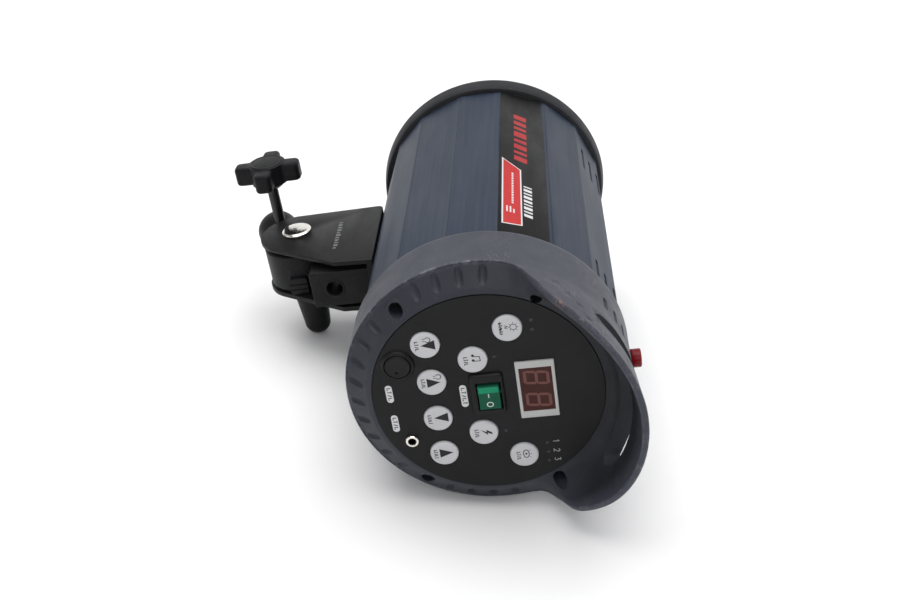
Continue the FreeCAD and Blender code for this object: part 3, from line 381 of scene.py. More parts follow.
def tidy(ob, angle=32, merge=2e-6):
    bm = bmesh.new()
    bm.from_mesh(ob.data)
    bmesh.ops.remove_doubles(bm, verts=bm.verts, dist=merge)
    loose = [v for v in bm.verts if not v.link_faces]
    if loose:
        bmesh.ops.delete(bm, geom=loose, context="VERTS")
    bmesh.ops.recalc_face_normals(bm, faces=bm.faces)
    bm.to_mesh(ob.data)
    bm.free()
    for p in ob.data.polygons:
        p.use_smooth = p.area < 4e-5
    ob.data.set_sharp_from_angle(angle=math.radians(angle))


def apply_mods(ob):
    dg = bpy.context.evaluated_depsgraph_get()
    me = bpy.data.meshes.new_from_object(ob.evaluated_get(dg), preserve_all_data_layers=True, depsgraph=dg)
    old = ob.data
    ob.modifiers.clear()
    ob.data = me
    bpy.data.meshes.remove(old)


def join(obs):
    bm = bmesh.new()
    for o in obs:
        bm.from_mesh(o.data)
    me = bpy.data.meshes.new(obs[0].name)
    bm.to_mesh(me)
    bm.free()
    keep = obs[0]
    old = keep.data
    keep.data = me
    bpy.data.meshes.remove(old)
    for o in obs[1:]:
        m = o.data
        bpy.data.objects.remove(o)
        bpy.data.meshes.remove(m)
    return keep


def carve(ob, cutters, op="DIFFERENCE", angle=32):
    for c in cutters:
        m = ob.modifiers.new("carve", "BOOLEAN")
        m.object, m.operation, m.solver = c, op, "EXACT"
    apply_mods(ob)
    for c in cutters:
        me = c.data
        bpy.data.objects.remove(c)
        bpy.data.meshes.remove(me)
    tidy(ob, angle)
    return ob


def bevel(ob, width, seg=3, angle=30, smooth=32):
    m = ob.modifiers.new("bevel", "BEVEL")
    m.width = width * 0.001
    m.segments = seg
    m.limit_method = "ANGLE"
    m.angle_limit = math.radians(angle)
    m.use_clamp_overlap = True
    apply_mods(ob)
    tidy(ob, smooth)
    return ob


def lathe(name, prof, n=96, M=HEAD, angle=32, closed=True):
    """Turned about the local Y axis. prof is (y, r); r of 0 closes on the axis."""
    verts, rows = [], []
    for y, r in prof:
        if r < 1e-6:
            rows.append([len(verts)])
            verts.append((0, y, 0))
        else:
            rows.append(list(range(len(verts), len(verts) + n)))
            verts += [(r * math.sin(2 * pi * i / n), y, r * math.cos(2 * pi * i / n)) for i in range(n)]
    faces = []
    pairs = list(zip(rows, rows[1:]))
    if closed and len(rows[0]) > 1 and len(rows[-1]) > 1:
        pairs.append((rows[-1], rows[0]))
    for a, b in pairs:
        for i in range(n):
            j = (i + 1) % n
            if len(a) == 1 and len(b) == 1:
                continue
            if len(a) == 1:
                faces.append((a[0], b[j], b[i]))
            elif len(b) == 1:
                faces.append((a[i], a[j], b[0]))
            else:
                faces.append((a[i], a[j], b[j], b[i]))
    return new_ob(name, verts, faces, M, angle)


def prism(name, pts, y0, y1, M=HEAD, angle=32):
    """Outline pts (x, z) drawn out along local Y."""
    n = len(pts)
    verts = [(x, y0, z) for x, z in pts] + [(x, y1, z) for x, z in pts]
    faces = [tuple(range(n)), tuple(range(2 * n - 1, n - 1, -1))] + [(i, (i + 1) % n, n + (i + 1) % n, n + i) for i in range(n)]
    return new_ob(name, verts, faces, M, angle)


def tube_prism(name, outer, inner, y0, y1, M=HEAD, rows=(), angle=20):
    ys = [y0] + list(rows) + [y1]
    n = len(outer)
    verts, faces = [], []
    for ring in (outer, inner):
        for y in ys:
            verts += [(x, y, z) for x, z in ring]
    k = len(ys)
    for s in (0, 1):
        for r in range(k - 1):
            a, b = (s * k + r) * n, (s * k + r + 1) * n
            faces += [(a + i, a + (i + 1) % n, b + (i + 1) % n, b + i) for i in range(n)]
    for r in (0, k - 1):
        a, b = r * n, (k + r) * n
        faces += [(a + i, a + (i + 1) % n, b + (i + 1) % n, b + i) for i in range(n)]
    return new_ob(name, verts, faces, M, angle)


def circle(r, n=48, x=0.0, z=0.0, a0=0.0):
    return [(x + r * math.sin(a0 + 2 * pi * i / n), z + r * math.cos(a0 + 2 * pi * i / n)) for i in range(n)]


def rrect(x0, x1, z0, z1, r, n=6):
    pts = []
    for cx, cz, a in ((x1 - r, z1 - r, 0), (x1 - r, z0 + r, 90), (x0 + r, z0 + r, 180), (x0 + r, z1 - r, 270)):
        for i in range(n + 1):
            t = math.radians(a + 90 * i / n)
            pts.append((cx + r * math.sin(t), cz + r * math.cos(t)))
    return pts


def rounded(pts, r, n=5):
    """Round every corner of an outline."""
    out = []
    m = len(pts)
    for i in range(m):
        p, q, s = Vector(pts[i - 1]), Vector(pts[i]), Vector(pts[(i + 1) % m])
        a, b = (p - q), (s - q)
        la, lb = a.length, b.length
        a.normalize(), b.normalize()
        ang = a.angle(b)
        rr = r[i] if isinstance(r, (list, tuple)) else r
        if rr < 1e-6 or ang > math.radians(178):
            out.append((q.x, q.y))
            continue
        d = min(rr / math.tan(ang / 2), la * 0.48, lb * 0.48)
        rr = d * math.tan(ang / 2)
        c = q + (a + b).normalized() * (rr / math.sin(ang / 2))
        s0, s1 = q + a * d - c, q + b * d - c
        w = s0.angle(s1)
        sign = 1 if (s0.x * s1.y - s0.y * s1.x) > 0 else -1
        for k in range(n + 1):
            t = sign * w * k / n
            out.append((c.x + s0.x * math.cos(t) - s0.y * math.sin(t), c.y + s0.x * math.sin(t) + s0.y * math.cos(t)))
    return out


def stroke(pts, w, closed=False):
    """The two edges of a pen line of width w through pts."""
    L, R = [], []
    n = len(pts)
    for i in range(n):
        q = Vector(pts[i])
        if closed or 0 < i < n - 1:
            a = (q - Vector(pts[i - 1])).normalized()
            b = (Vector(pts[(i + 1) % n]) - q).normalized()
        elif i == 0:
            a = b = (Vector(pts[1]) - q).normalized()
        else:
            a = b = (q - Vector(pts[i - 1])).normalized()
        t = (a + b)
        t = t.normalized() if t.length > 1e-6 else a
        nrm = Vector((-t.y, t.x))
        k = 1 / max(0.45, nrm.dot(Vector((-b.y, b.x))))
        L.append(q + nrm * w * 0.5 * k)
        R.append(q - nrm * w * 0.5 * k)
    return L, R


class Ink:
    """Thin raised print built from filled outlines and pen lines on a local plane: (x, z) with y out of it."""

    def __init__(self, y_face, lift=0.025, sink=0.03):
        self.v, self.f, self.y0, self.y1 = [], [], y_face - lift, y_face + sink

    def fill(self, pts):
        n, k = len(pts), len(self.v)
        self.v += [(x, self.y0, z) for x, z in pts] + [(x, self.y1, z) for x, z in pts]
        self.f += [tuple(range(k, k + n)), tuple(range(k + 2 * n - 1, k + n - 1, -1))]
        self.f += [(k + i, k + (i + 1) % n, k + n + (i + 1) % n, k + n + i) for i in range(n)]
        return self

    def line(self, pts, w, closed=False):
        L, R = stroke(pts, w, closed)
        n, k = len(pts), len(self.v)
        for y in (self.y0, self.y1):
            self.v += [(p.x, y, p.y) for p in L] + [(p.x, y, p.y) for p in R]
        m = n if closed else n - 1
        for i in range(m):
            j = (i + 1) % n
            a, b, c, d = k + i, k + j, k + n + j, k + n + i
            self.f += [(a, b, c, d), (a + 2 * n, d + 2 * n, c + 2 * n, b + 2 * n), (a, a + 2 * n, b + 2 * n, b), (d, c, c + 2 * n, d + 2 * n)]
        if not closed:
            self.f += [(k, k + n, k + 3 * n, k + 2 * n), (k + n - 1, k + 3 * n - 1, k + 4 * n - 1, k + 2 * n - 1)]
        return self

    def done(self, name, M=HEAD):
        return new_ob(name, self.v, self.f, M, 30, 1e-9)


def dress(ob, mat, body="housing", replaces=()):
    ob.data.materials.clear()
    ob.data.materials.append(MAT[mat] if isinstance(mat, str) else mat)
    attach(ob, body)
    if replaces:
        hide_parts(*replaces)
    return ob


def paint(node, mat):
    o = NODES[node]
    o.data.materials.clear()
    o.data.materials.append(MAT[mat])


def set_attr(ob, name, fn):
    a = ob.data.attributes.get(name) or ob.data.attributes.new(name, "FLOAT", "POINT")
    vals = [fn(HEAD_INV @ v.co) for v in ob.data.vertices]
    a.data.foreach_set("value", vals)


# ------------------------------------------------------------------ rear cover
RIM = [(8.6, 6.0), (7.6, 12.0), (4.0, 19.5), (-2.5, 24.0), (-8.5, 28.0), (-14.5, 31.6), (-19.0, 37.0), (-22.8, 43.0),
       (-26.6, 50.0), (-29.2, 57.0), (-30.7, 63.0), (-31.2, 68.0)]


def rim_g(z):
    if z <= RIM[0][1]:
        return RIM[0][0] + (RIM[0][1] - z) * 0.2
    for (t0, z0), (t1, z1), k in zip(RIM, RIM[1:], range(99)):
        if z <= z1:
            def slope(i):
                a, b = RIM[max(0, i - 1)], RIM[min(len(RIM) - 1, i + 1)]
                return (b[0] - a[0]) / (b[1] - a[1])
            h = z1 - z0
            u = (z - z0) / h
            m0, m1 = slope(k) * h, slope(k + 1) * h
            return (2 * u ** 3 - 3 * u * u + 1) * t0 + (u ** 3 - 2 * u * u + u) * m0 + (-2 * u ** 3 + 3 * u * u) * t1 + (u ** 3 - u * u) * m1
    return RIM[-1][0]


def r_out(t): return 62.3 + max(0.0, 6.0 - t) * 0.0838


def rim_t(phi):
    R = 63.0
    for _ in range(4):
        z = R * math.cos(phi)
        a, b, k = 7.1, rim_g(z), 2.2
        h = max(0.0, min(1.0, 0.5 + 0.5 * (b - a) / k))
        t = b * (1 - h) + a * h - k * h * (1 - h)
        R = r_out(t)
    return t


N_PHI = 900
_raw = [rim_t(2 * pi * i / N_PHI) for i in range(N_PHI)]
_w = [math.exp(-(j / 5.0) ** 2) for j in range(-12, 13)]
RIM_T = [sum(_raw[(i + j) % N_PHI] * _w[j + 12] for j in range(-12, 13)) / sum(_w) for i in range(N_PHI)]


def rim_at(phi):
    x = (phi / (2 * pi) * N_PHI) % N_PHI
    i = int(x)
    return lerp(RIM_T[i % N_PHI], RIM_T[(i + 1) % N_PHI], x - i)


DIMPLES = [274.8, 264.8, 254.8, 245.3] + [149.7 + 10.08 * k for k in range(8)] + [139.7] + [84.8, 94.8, 104.8, 114.6]
DENTS = [(-52.6, -6.8, 2.6, 1.1), (-48.5, -11.4, 2.6, 1.1), (-45.0, -19.0, 2.2, 1.0), (52.6, -6.8, 2.6, 1.1), (48.5, -11.4, 2.6, 1.1), (45.0, -19.0, 2.2, 1.0),
         (-57.5, -1.5, 2.4, 1.0), (57.5, -1.5, 2.4, 1.0)]


def cover_section(phi):
    t = rim_at(phi)
    k = sstep(7.1, -22.0, t)
    kk = sstep(7.1, -8.0, t)
    Ro = r_out(t)
    w = lerp(0.75, 3.0, kk)
    Ri = Ro - w
    ri, ro = lerp(0.3, 1.0, kk), lerp(0.35, 1.0, kk)
    sec = [(2.55, 50.02), (0.75, 50.02), (0.38, 50.12), (0.25, 50.5)]
    PB = (lerp(1.05, -0.25, k), lerp(52.6, 52.9, k))
    sec += [(lerp(0.25, PB[0], 0.5), lerp(50.5, PB[1], 0.5))]
    P1 = (t + ri, Ri)
    kc = sstep(-7.0, -25.0, t)
    C = (lerp(lerp(PB[0], P1[0], 0.5), -5.0, kc), lerp(lerp(PB[1], P1[1], 0.5), 60.2, kc))
    nb = 28
    da = math.degrees(phi) % 360
    for i in range(nb + 1):
        u = i / nb
        y = (1 - u) ** 2 * PB[0] + 2 * u * (1 - u) * C[0] + u * u * P1[0]
        r = (1 - u) ** 2 * PB[1] + 2 * u * (1 - u) * C[1] + u * u * P1[1]
        if t > -2.0:
            for a in DIMPLES:
                dd = (da - a + 180) % 360 - 180
                if abs(dd) < 3.2:
                    ex = math.radians(dd) * r / 1.75
                    er = (r - 57.3) / 3.55
                    e = (abs(ex) ** 2.4 + abs(er) ** 2.6)
                    if e < 1:
                        dep = 1.3 * (1 - e) ** 0.7
                        y += dep * 0.855
                        r -= dep * 0.45
        sec.append((y, r))
    for i in range(1, 5):
        a = pi / 2 * i / 4
        sec.append((t + ri - ri * math.sin(a), Ri + ri - ri * math.cos(a)))
    sec.append((t, (Ri + ri + Ro - ro) / 2))
    for i in range(0, 5):
        a = pi / 2 * i / 4
        sec.append((t + ro - ro * math.cos(a), Ro - ro + ro * math.sin(a)))
    nr = 30
    y0, y1 = t + ro, 32.4
    for i in range(1, nr + 1):
        u = i / nr
        y = lerp(y0, y1, u ** 1.25)
        r = r_out(y) if y < 6 else 62.3
        sd = (da + 180) % 360 - 180
        for a, tt, la, lt in DENTS:
            ea = math.radians(sd - a) * r / la
            et = (y - tt) / lt
            e = ea * ea + et * et
            if e < 1:
                r -= 0.55 * (1 - e) ** 0.7
        sec.append((y, r))
    sec += [(32.95, 62.13), (33.3, 61.75), (33.4, 61.3), (33.4, 60.75), (26.1, 60.65), (26.1, 57.4), (23.0, 57.4), (23.0, 59.3), (11.0, 59.3),
            (5.4, 50.95), (5.4, 48.0), (2.55, 48.0)]
    return sec


def make_rear_cover():
    verts, faces = [], []
    secs = [cover_section(2 * pi * i / N_PHI) for i in range(N_PHI)]
    m = len(secs[0])
    for i, s in enumerate(secs):
        a = 2 * pi * i / N_PHI
        sa, ca = math.sin(a), math.cos(a)
        verts += [(r * sa, y, r * ca) for y, r in s]
    for i in range(N_PHI):
        j = (i + 1) % N_PHI
        faces += [(i * m + k, i * m + (k + 1) % m, j * m + (k + 1) % m, j * m + k) for k in range(m)]
    ob = new_ob("rear_cover_shell", verts, faces, HEAD, 38)
    tools = []
    # carrying slot: an outline in (x, y), drawn through the crown of the hood
    up = Matrix(((1, 0, 0, 0), (0, 0, 1, 0), (0, 1, 0, 0), (0, 0, 0, 1)))     # local y goes up, local z goes forward
    slot = []
    xs, xc, y0, y1 = 39.0, -2.5, -14.2, -3.6
    n = 26
    for i in range(n + 1):
        x = -xs + 2 * xs * i / n
        e = math.sqrt(max(0.0, 1 - (abs(x) / xs) ** 7))
        slot.append((xc + x, lerp((y0 + y1) / 2, y1, e)))
    for i in range(1, n):
        x = xs - 2 * xs * i / n
        e = math.sqrt(max(0.0, 1 - (abs(x) / xs) ** 7))
        slot.append((xc + x, lerp((y0 + y1) / 2, y0, e)))
    tools.append(prism("slot_tool", slot, 36, 80, HEAD @ up))
    for a in (-31, -24, -17, 17, 24, 31):
        x = math.sin(math.radians(a)) * 62.3
        tools.append(prism("vent_tool", rrect(x - 1.3, x + 1.3, 8.2, 16.8, 1.29), 45, 72, HEAD @ up))
    wells = ((61.0, 54.4, 3.05), (-61.0, 52.4, 2.45), (126.5, 55.6, 3.15), (-126.5, 55.6, 3.15))
    for a, q, R in wells:
        x, z = q * math.sin(math.radians(a)), q * math.cos(math.radians(a))
        tools.append(prism("well_tool", circle(R, 40, x, z), -42, 12.4))
    carve(ob, tools, angle=38)
    # screw seats behind the wells
    seats = []
    for a, q, R in wells:
        R += 0.02
        x, z = q * math.sin(math.radians(a)), q * math.cos(math.radians(a))
        seats.append(lathe("seat", [(4.5, R), (4.5, 4.2), (16.2, 4.2), (16.2, 1.9), (12.6, 1.9), (12.6, R)], 40, HEAD @ T(x, 0, z)))
    ob = join([ob] + seats)
    for p in ob.data.polygons:
        p.use_smooth = True
    ob.data.set_sharp_from_angle(angle=math.radians(38))

    def wear(q):
        a = math.atan2(q.x, q.z)
        r = math.hypot(q.x, q.z)
        t = rim_at(a)
        Ro = r_out(t)
        kk = sstep(7.1, -8.0, t)
        d_out = math.hypot(q.y - t, r - Ro)
        d_in = math.hypot(q.y - t, r - (Ro - lerp(0.75, 3.0, kk)))
        v = max(math.exp(-(d_out / 1.1) ** 2), 0.8 * kk * math.exp(-(d_in / 0.9) ** 2))
        s = abs(q.y - 33.0) / 0.8
        return max(v, 0.5 * math.exp(-s * s) if r > 61 else 0.0, 0.10 if q.y < 8 and r > 60 else 0.0)
    set_attr(ob, "wear", wear)

    def chip(q):
        a = math.degrees(math.atan2(q.x, q.z))
        r = math.hypot(q.x, q.z)
        t = rim_at(math.radians(a))
        d = math.hypot((a + 56.7) * 1.05, (q.y - t) * 0.9, (r - r_out(t)) * 0.9)
        return math.exp(-(d / 1.6) ** 2)
    set_attr(ob, "chip", chip)

    def scratch(q):
        a = math.degrees(math.atan2(q.x, q.z))
        r = math.hypot(q.x, q.z)
        if r < 61.5:
            return 0.0
        v = 0.0
        for aa, tt, la, lt in ((-38.0, 22.0, 5.0, 3.5), (-44.0, 27.5, 4.0, 2.2), (-52.0, -4.0, 9.0, 3.0), (-36.0, -20.0, 9.0, 5.0), (-20, -26, 8, 4), (20, -24, 8, 4), (-80, 12, 6, 2.5), (120, 20, 8, 3), (200, 14, 7, 2)):
            dd = (a - aa + 180) % 360 - 180
            v = max(v, math.exp(-(dd / la) ** 2 - ((q.y - tt) / lt) ** 2))
        return v * 0.8
    set_attr(ob, "scratch", scratch)

    # painted shade mask: 0.72 over the carrying slot, and inside the rim's inner edge up to 0.78, stronger towards the
    # top and where the hood reaches further back; it covers the screw wells too
    def hood_painted_shade(q):
        a = math.atan2(q.x, q.z)
        r = math.hypot(q.x, q.z)
        t = rim_at(a)
        kk = sstep(7.1, -8.0, t)
        edge = r_out(t) - lerp(0.75, 3.0, kk)
        if q.y > 9.0:
            return 0.0
        if q.z > 20 and r > 55 and abs(q.x + 2.5) < 39.2 and -14.5 < q.y < -3.3:
            return 0.72
        inner = 1 - sstep(edge - 1.4, edge + 0.25, r)
        return inner * (0.40 + 0.38 * sstep(18.0, 44.0, q.z) * sstep(0.0, -14.0, t))
    set_attr(ob, "hood_painted_shade", hood_painted_shade)
    dress(ob, "cover", "housing", ("rear_cover",))


make_rear_cover()


# ------------------------------------------------------------------ barrel
def facet_ring(r, rad, n=4):
    pts = []
    for k in range(8):
        for a in (22.5 + 45 * k - 12.25, 22.5 + 45 * k + 12.25):
            pts.append((r * math.sin(math.radians(a)), r * math.cos(math.radians(a))))
    return rounded(pts, rad, n)


def make_tube():
    outer = facet_ring(60.5, 3.0)
    inner = facet_ring(58.4, 2.0)
    ob = tube_prism("barrel", outer, inner, 26.2, 201.4, HEAD, (33.6, 60, 90, 120, 150, 180), 6)
    up = Matrix(((1, 0, 0, 0), (0, 0, 1, 0), (0, 1, 0, 0), (0, 0, 0, 1)))
    tools = []
    for a in (-28.3, -20.3, -12.2, -4.1, 4.1, 12.2, 20.3, 28.3):
        x = math.sin(math.radians(a)) * 60.5
        for y0, y1 in ((41.0, 57.0), (156.0, 181.0)):
            tools.append(prism("slit", rrect(x - 1.2, x + 1.2, y0, y1, 1.18), 20, 75, HEAD @ up))
    tools.append(prism("inlet_tool", rrect(-9.9, 9.9, 52.4, 79.6, 0.6), 52, 64, HEAD @ roty(157.5) @ up))
    carve(ob, tools, angle=5)
    dress(ob, "tube", "housing", ("main_tube",))
    # painted shade: fine dark lines beside the corners of the extrusion, standing in for the shaded facet creases
    flat = 60.5 * math.cos(math.radians(12.25))
    half = 60.5 * math.sin(math.radians(12.25)) - 0.6
    lines = []
    for a in (67.5, 112.5, 157.5, 202.5, 247.5, 292.5):
        k = Ink(-flat, 0.012)
        for x in (-half, half):
            k.fill([(x - 0.17, 34.0), (x + 0.17, 34.0), (x + 0.17, 201.0), (x - 0.17, 201.0)])
        lines.append(k.done("barrel_crease_painted_shade", HEAD @ roty(a) @ Matrix(((1, 0, 0, 0), (0, 0, 1, 0), (0, -1, 0, 0), (0, 0, 0, 1)))))
    dress(join(lines), plastic("crease_painted_shade_line", (0.0075, 0.0115, 0.0200), 0.5, 0.12, 3000.0, 0.000006, 0.15, dust=0.0, bevel=None), "housing")


make_tube()


# ------------------------------------------------------------------ front ring and latch
FLIP = Matrix(((1, 0, 0, 0), (0, 0, 1, 0), (0, 1, 0, 0), (0, 0, 0, 1)))


def make_front_ring():
    prof = [(193.0, 56.8), (201.45, 56.8), (201.45, 59.4), (202.5, 59.4), (202.5, 61.6), (202.65, 61.95), (203.6, 62.45), (206.5, 63.0),
            (209.5, 63.4), (211.2, 63.6), (211.9, 63.5), (212.4, 63.15), (212.6, 62.5), (212.6, 53.2), (212.45, 52.75), (212.1, 52.45),
            (208.4, 52.4), (208.4, 50.3), (208.1, 50.0), (193.0, 50.0)]
    ob = lathe("front_rim", prof, 256, HEAD, 30)
    cutter = prism("latch_tool", rrect(-3.2, 3.2, 203.0, 211.0, 0.5), -66, -46, HEAD @ roty(220) @ FLIP)
    taps = []
    for a in (80.0, 180.0, 300.0):
        x, z = 49.4 * math.sin(math.radians(a)), 49.4 * math.cos(math.radians(a))
        taps.append(prism("tap", circle(1.28, 20, x, z), 204, 214))
    carve(ob, [cutter] + taps, angle=30)
    dress(ob, "ring", "housing", ("front_ring",))


make_front_ring()


# ------------------------------------------------------------------ bracket, tilting head, knob, handle
def ear_pts():
    cy, cz, r = 147.5, -105.0, 20.0
    top = -59.60
    K = (108.6, -79.8)
    dy, dz = cy - K[0], cz - K[1]
    L = math.hypot(dy, dz)
    base = math.atan2(dz, dy)
    tang = math.asin(r / L)
    tl = math.sqrt(L * L - r * r)
    Tp = (K[0] + math.cos(base - tang) * tl, K[1] + math.sin(base - tang) * tl)
    a0 = math.atan2(Tp[1] - cz, Tp[0] - cy)
    a1 = math.radians(-6)
    pts = [(107.4, top), K]
    n = 30
    for i in range(n + 1):
        a = lerp(a0, a1, i / n)
        pts.append((cy + r * math.cos(a), cz + r * math.sin(a)))
    pts.append((169.6, top))
    return pts


SIDE = Matrix(((0, 1, 0, 0), (1, 0, 0, 0), (0, 0, 1, 0), (0, 0, 0, 1)))      # outline (y, z) drawn out along x


def make_bracket():
    pts = ear_pts()
    r = [0.4, 3.0] + [0] * 31 + [3.0]
    ob = prism("yoke", rounded(pts, r, 6), -14.0, 15.5, HEAD @ SIDE)
    ch = prism("channel", [(100.0, -135.0), (180.0, -135.0), (180.0, -62.85), (100.0, -62.85)], -11.8, 12.9, HEAD @ SIDE)
    tools = [ch, prism("bore", circle(4.1, 40, 147.5, -105.0), -20, 20, HEAD @ SIDE)]
    for y in (136.0, 162.0):
        for x in (-6.5, 6.5):
            tools.append(prism("tap", circle(1.9, 20, x, y), -66, -55, HEAD @ FLIP))
    carve(ob, tools)
    # the end faces are parted at the roof of the channel, so that no face spans the gap between the ears
    bm = bmesh.new()
    bm.from_mesh(ob.data)
    bmesh.ops.bisect_plane(bm, geom=bm.verts[:] + bm.edges[:] + bm.faces[:], dist=1e-7, plane_co=HEAD @ Vector((0, 0, -62.85)),
                           plane_no=(HEAD.to_3x3() @ Vector((0, 0, 1))).normalized())
    bm.to_mesh(ob.data)
    bm.free()
    bevel(ob, 0.75, 3, 40)
    dress(ob, "bracket", "housing", ("tilt_bracket",))
    k = Ink(0.0, 0.02, 0.03)
    y = 124.0
    for i in range(11):
        w_ = (1.5, 2.2, 1.2, 1.9)[i % 4]
        k.fill([(y, -82.3), (y + w_, -82.3), (y + w_, -80.6 + 0.5 * (i % 2)), (y, -80.6 + 0.5 * (i % 3))])
        y += w_ + 1.15
    ob = k.done("yoke_marks", HEAD @ T(-14.0, 0, 0) @ Matrix(((0, 1, 0, 0), (1, 0, 0, 0), (0, 0, 1, 0), (0, 0, 0, 1))))
    dress(ob, plastic("yoke_print", (0.16, 0.16, 0.165), 0.6, 0.2, 3000.0, 0.00001, 0.15, dust=0.0, bevel=None), "housing")
    blk = prism("yoke_block", rrect(-8.7, 11.2, -94.0, -60.2, 1.0), 108.0, 128.0)
    carve(blk, [prism("bore", circle(4.2, 48, 0.8, -81.7), 100, 140)])
    bevel(blk, 0.6, 3, 40)
    rim = lathe("rim", [(107.75, 4.25), (107.75, 5.1), (107.95, 5.4), (108.3, 5.4), (108.3, 4.25)], 48, HEAD @ T(0.8, 0, -81.7))
    ob = join([blk, rim])
    for p in ob.data.polygons:
        p.use_smooth = True
    ob.data.set_sharp_from_angle(angle=math.radians(32))
    dress(ob, "bracket", "housing", ("umbrella_block",))


make_bracket()

PIVOT = HEAD @ T(0, 147.5, -105.0)
BARREL = PIVOT @ rotx(-30)
RX = rotz(-90)                     # lathe axis y turned to point along +x


def make_tilt_head():
    R = 19.0
    prof = [(-9.5, 0), (-9.5, R - 1.6), (-9.1, R - 0.6), (-8.3, R)]
    prof += [(11.6, R), (12.3, R - 0.5), (12.7, R - 1.3), (12.7, 0)]
    drum = lathe("tilt_drum", prof, 128, PIVOT @ RX, 30, closed=False)
    bar = lathe("socket_barrel", [(0, 0), (0, 10.0), (26, 10.0), (40.6, 10.0), (41.5, 9.7), (42.0, 9.0), (42.0, 0)], 96, BARREL, 30, closed=False)
    collar = lathe("socket_boss", [(-17.2, 0), (-17.2, 4.3), (-16.8, 4.8), (-16.0, 5.2), (-15.0, 5.4), (-4.0, 5.4), (-4.0, 0)], 64, BARREL @ T(0, 30, 0) @ RX, 30, closed=False)
    web = prism("saddle", rrect(-9.4, 9.4, -9.2, 9.2, 3.5), 12.0, 21.0, BARREL)
    lip = lathe("socket_lip", [(29.0, 0), (29.0, 9.9), (30.5, 10.3), (33.0, 11.0), (35.5, 11.5), (38.5, 11.6), (41.0, 11.2), (42.6, 10.3), (43.2, 9.2), (43.2, 0)], 96, BARREL, 30, closed=False)
    lug = prism("stop_lug", rrect(2.8, 12.6, -110.0, -100.0, 1.6), 125.9, 131.0)
    carve(drum, [bar, lip, collar, web, lug], "UNION")
    tools = [lathe("bore", [(10.0, 0), (10.0, 8.1), (42.3, 8.1), (43.3, 8.8), (50.0, 8.8), (50.0, 0)], 72, BARREL, 30, closed=False),
             prism("bore", circle(3.06, 40, 0, 0), -25, -4, BARREL @ T(0, 30, 0) @ Matrix(((0, 1, 0, 0), (1, 0, 0, 0), (0, 0, 1, 0), (0, 0, 0, 1)))),
             prism("bore", circle(4.06, 40, 0, 0), -20, 20, PIVOT @ SIDE)]
    for x in (6.4, 9.4):
        tools.append(prism("groove", [(x - 0.25, -111.0), (x + 0.25, -111.0), (x + 0.25, -99.0), (x - 0.25, -99.0)], 125.0, 126.5))
    carve(drum, tools)
    bevel(drum, 0.55, 2, 42)
    dress(drum, "black_fine", "tilting_head", ("tilt_head",))


make_tilt_head()

STUD = BARREL @ T(0, 30, 0) @ rotx(30)


def make_knob():
    """Four-armed clamp knob; x is its turning axis."""
    def loop(inset):
        R, w = 18.3 - inset, 4.7 - inset
        pts = []
        for k in range(4):
            a = math.radians(90 * k)
            ca, sa = math.cos(a), math.sin(a)
            for u, v in [(w + 1.0, w + 1.0), (w, 9.5), (w - 0.1, R - 0.4), (-(w - 0.1), R - 0.4), (-w, 9.5)]:
                pts.append((u * ca - v * sa, u * sa + v * ca))
        return rounded(pts, [3.0, 3.0, 2.6 - inset * 0.6, 2.6 - inset * 0.6, 3.0] * 4, 5)
    verts, faces = [], []
    levels = ((-45.2, 1.6), (-44.95, 0.85), (-44.5, 0.38), (-43.9, 0.1), (-43.2, 0.0), (-36.4, 0.0), (-35.6, 0.15), (-35.1, 0.5), (-34.8, 0.95), (-34.7, 1.5))
    for lv, inset in levels:
        ring = loop(inset)
        m = len(ring)
        verts += [(p_[0], lv, p_[1]) for p_ in ring]
    for i in range(len(levels) - 1):
        faces += [(i * m + k, i * m + (k + 1) % m, (i + 1) * m + (k + 1) % m, (i + 1) * m + k) for k in range(m)]
    faces += [tuple(range(m)), tuple(range(len(levels) * m - 1, (len(levels) - 1) * m - 1, -1))]
    ob = new_ob("clamp_knob", verts, faces, STUD @ SIDE, 34)
    hub = lathe("hub", [(-45.4, 0), (-45.4, 10.2), (-34.2, 9.9), (-33.4, 8.6), (-31.0, 5.4), (-31.0, 0)], 72, STUD @ RX, 30, closed=False)
    carve(ob, [hub], "UNION", 34)
    disc = lathe("disc", [(-46.25, 0), (-46.25, 6.4), (-46.1, 7.1), (-45.95, 7.6), (-46.15, 8.0), (-46.2, 8.5), (-46.0, 9.1), (-45.4, 9.6), (-44.0, 9.7), (-44.0, 0)], 96, STUD @ RX, 30, closed=False)
    ob = join([ob, disc])
    hole = prism("bore", circle(3.05, 40, 0, 0), -40.0, -28, STUD @ SIDE)
    carve(ob, [hole], angle=34)
    dress(ob, "knob", "stand_clamp", ("stand_knob",))


make_knob()


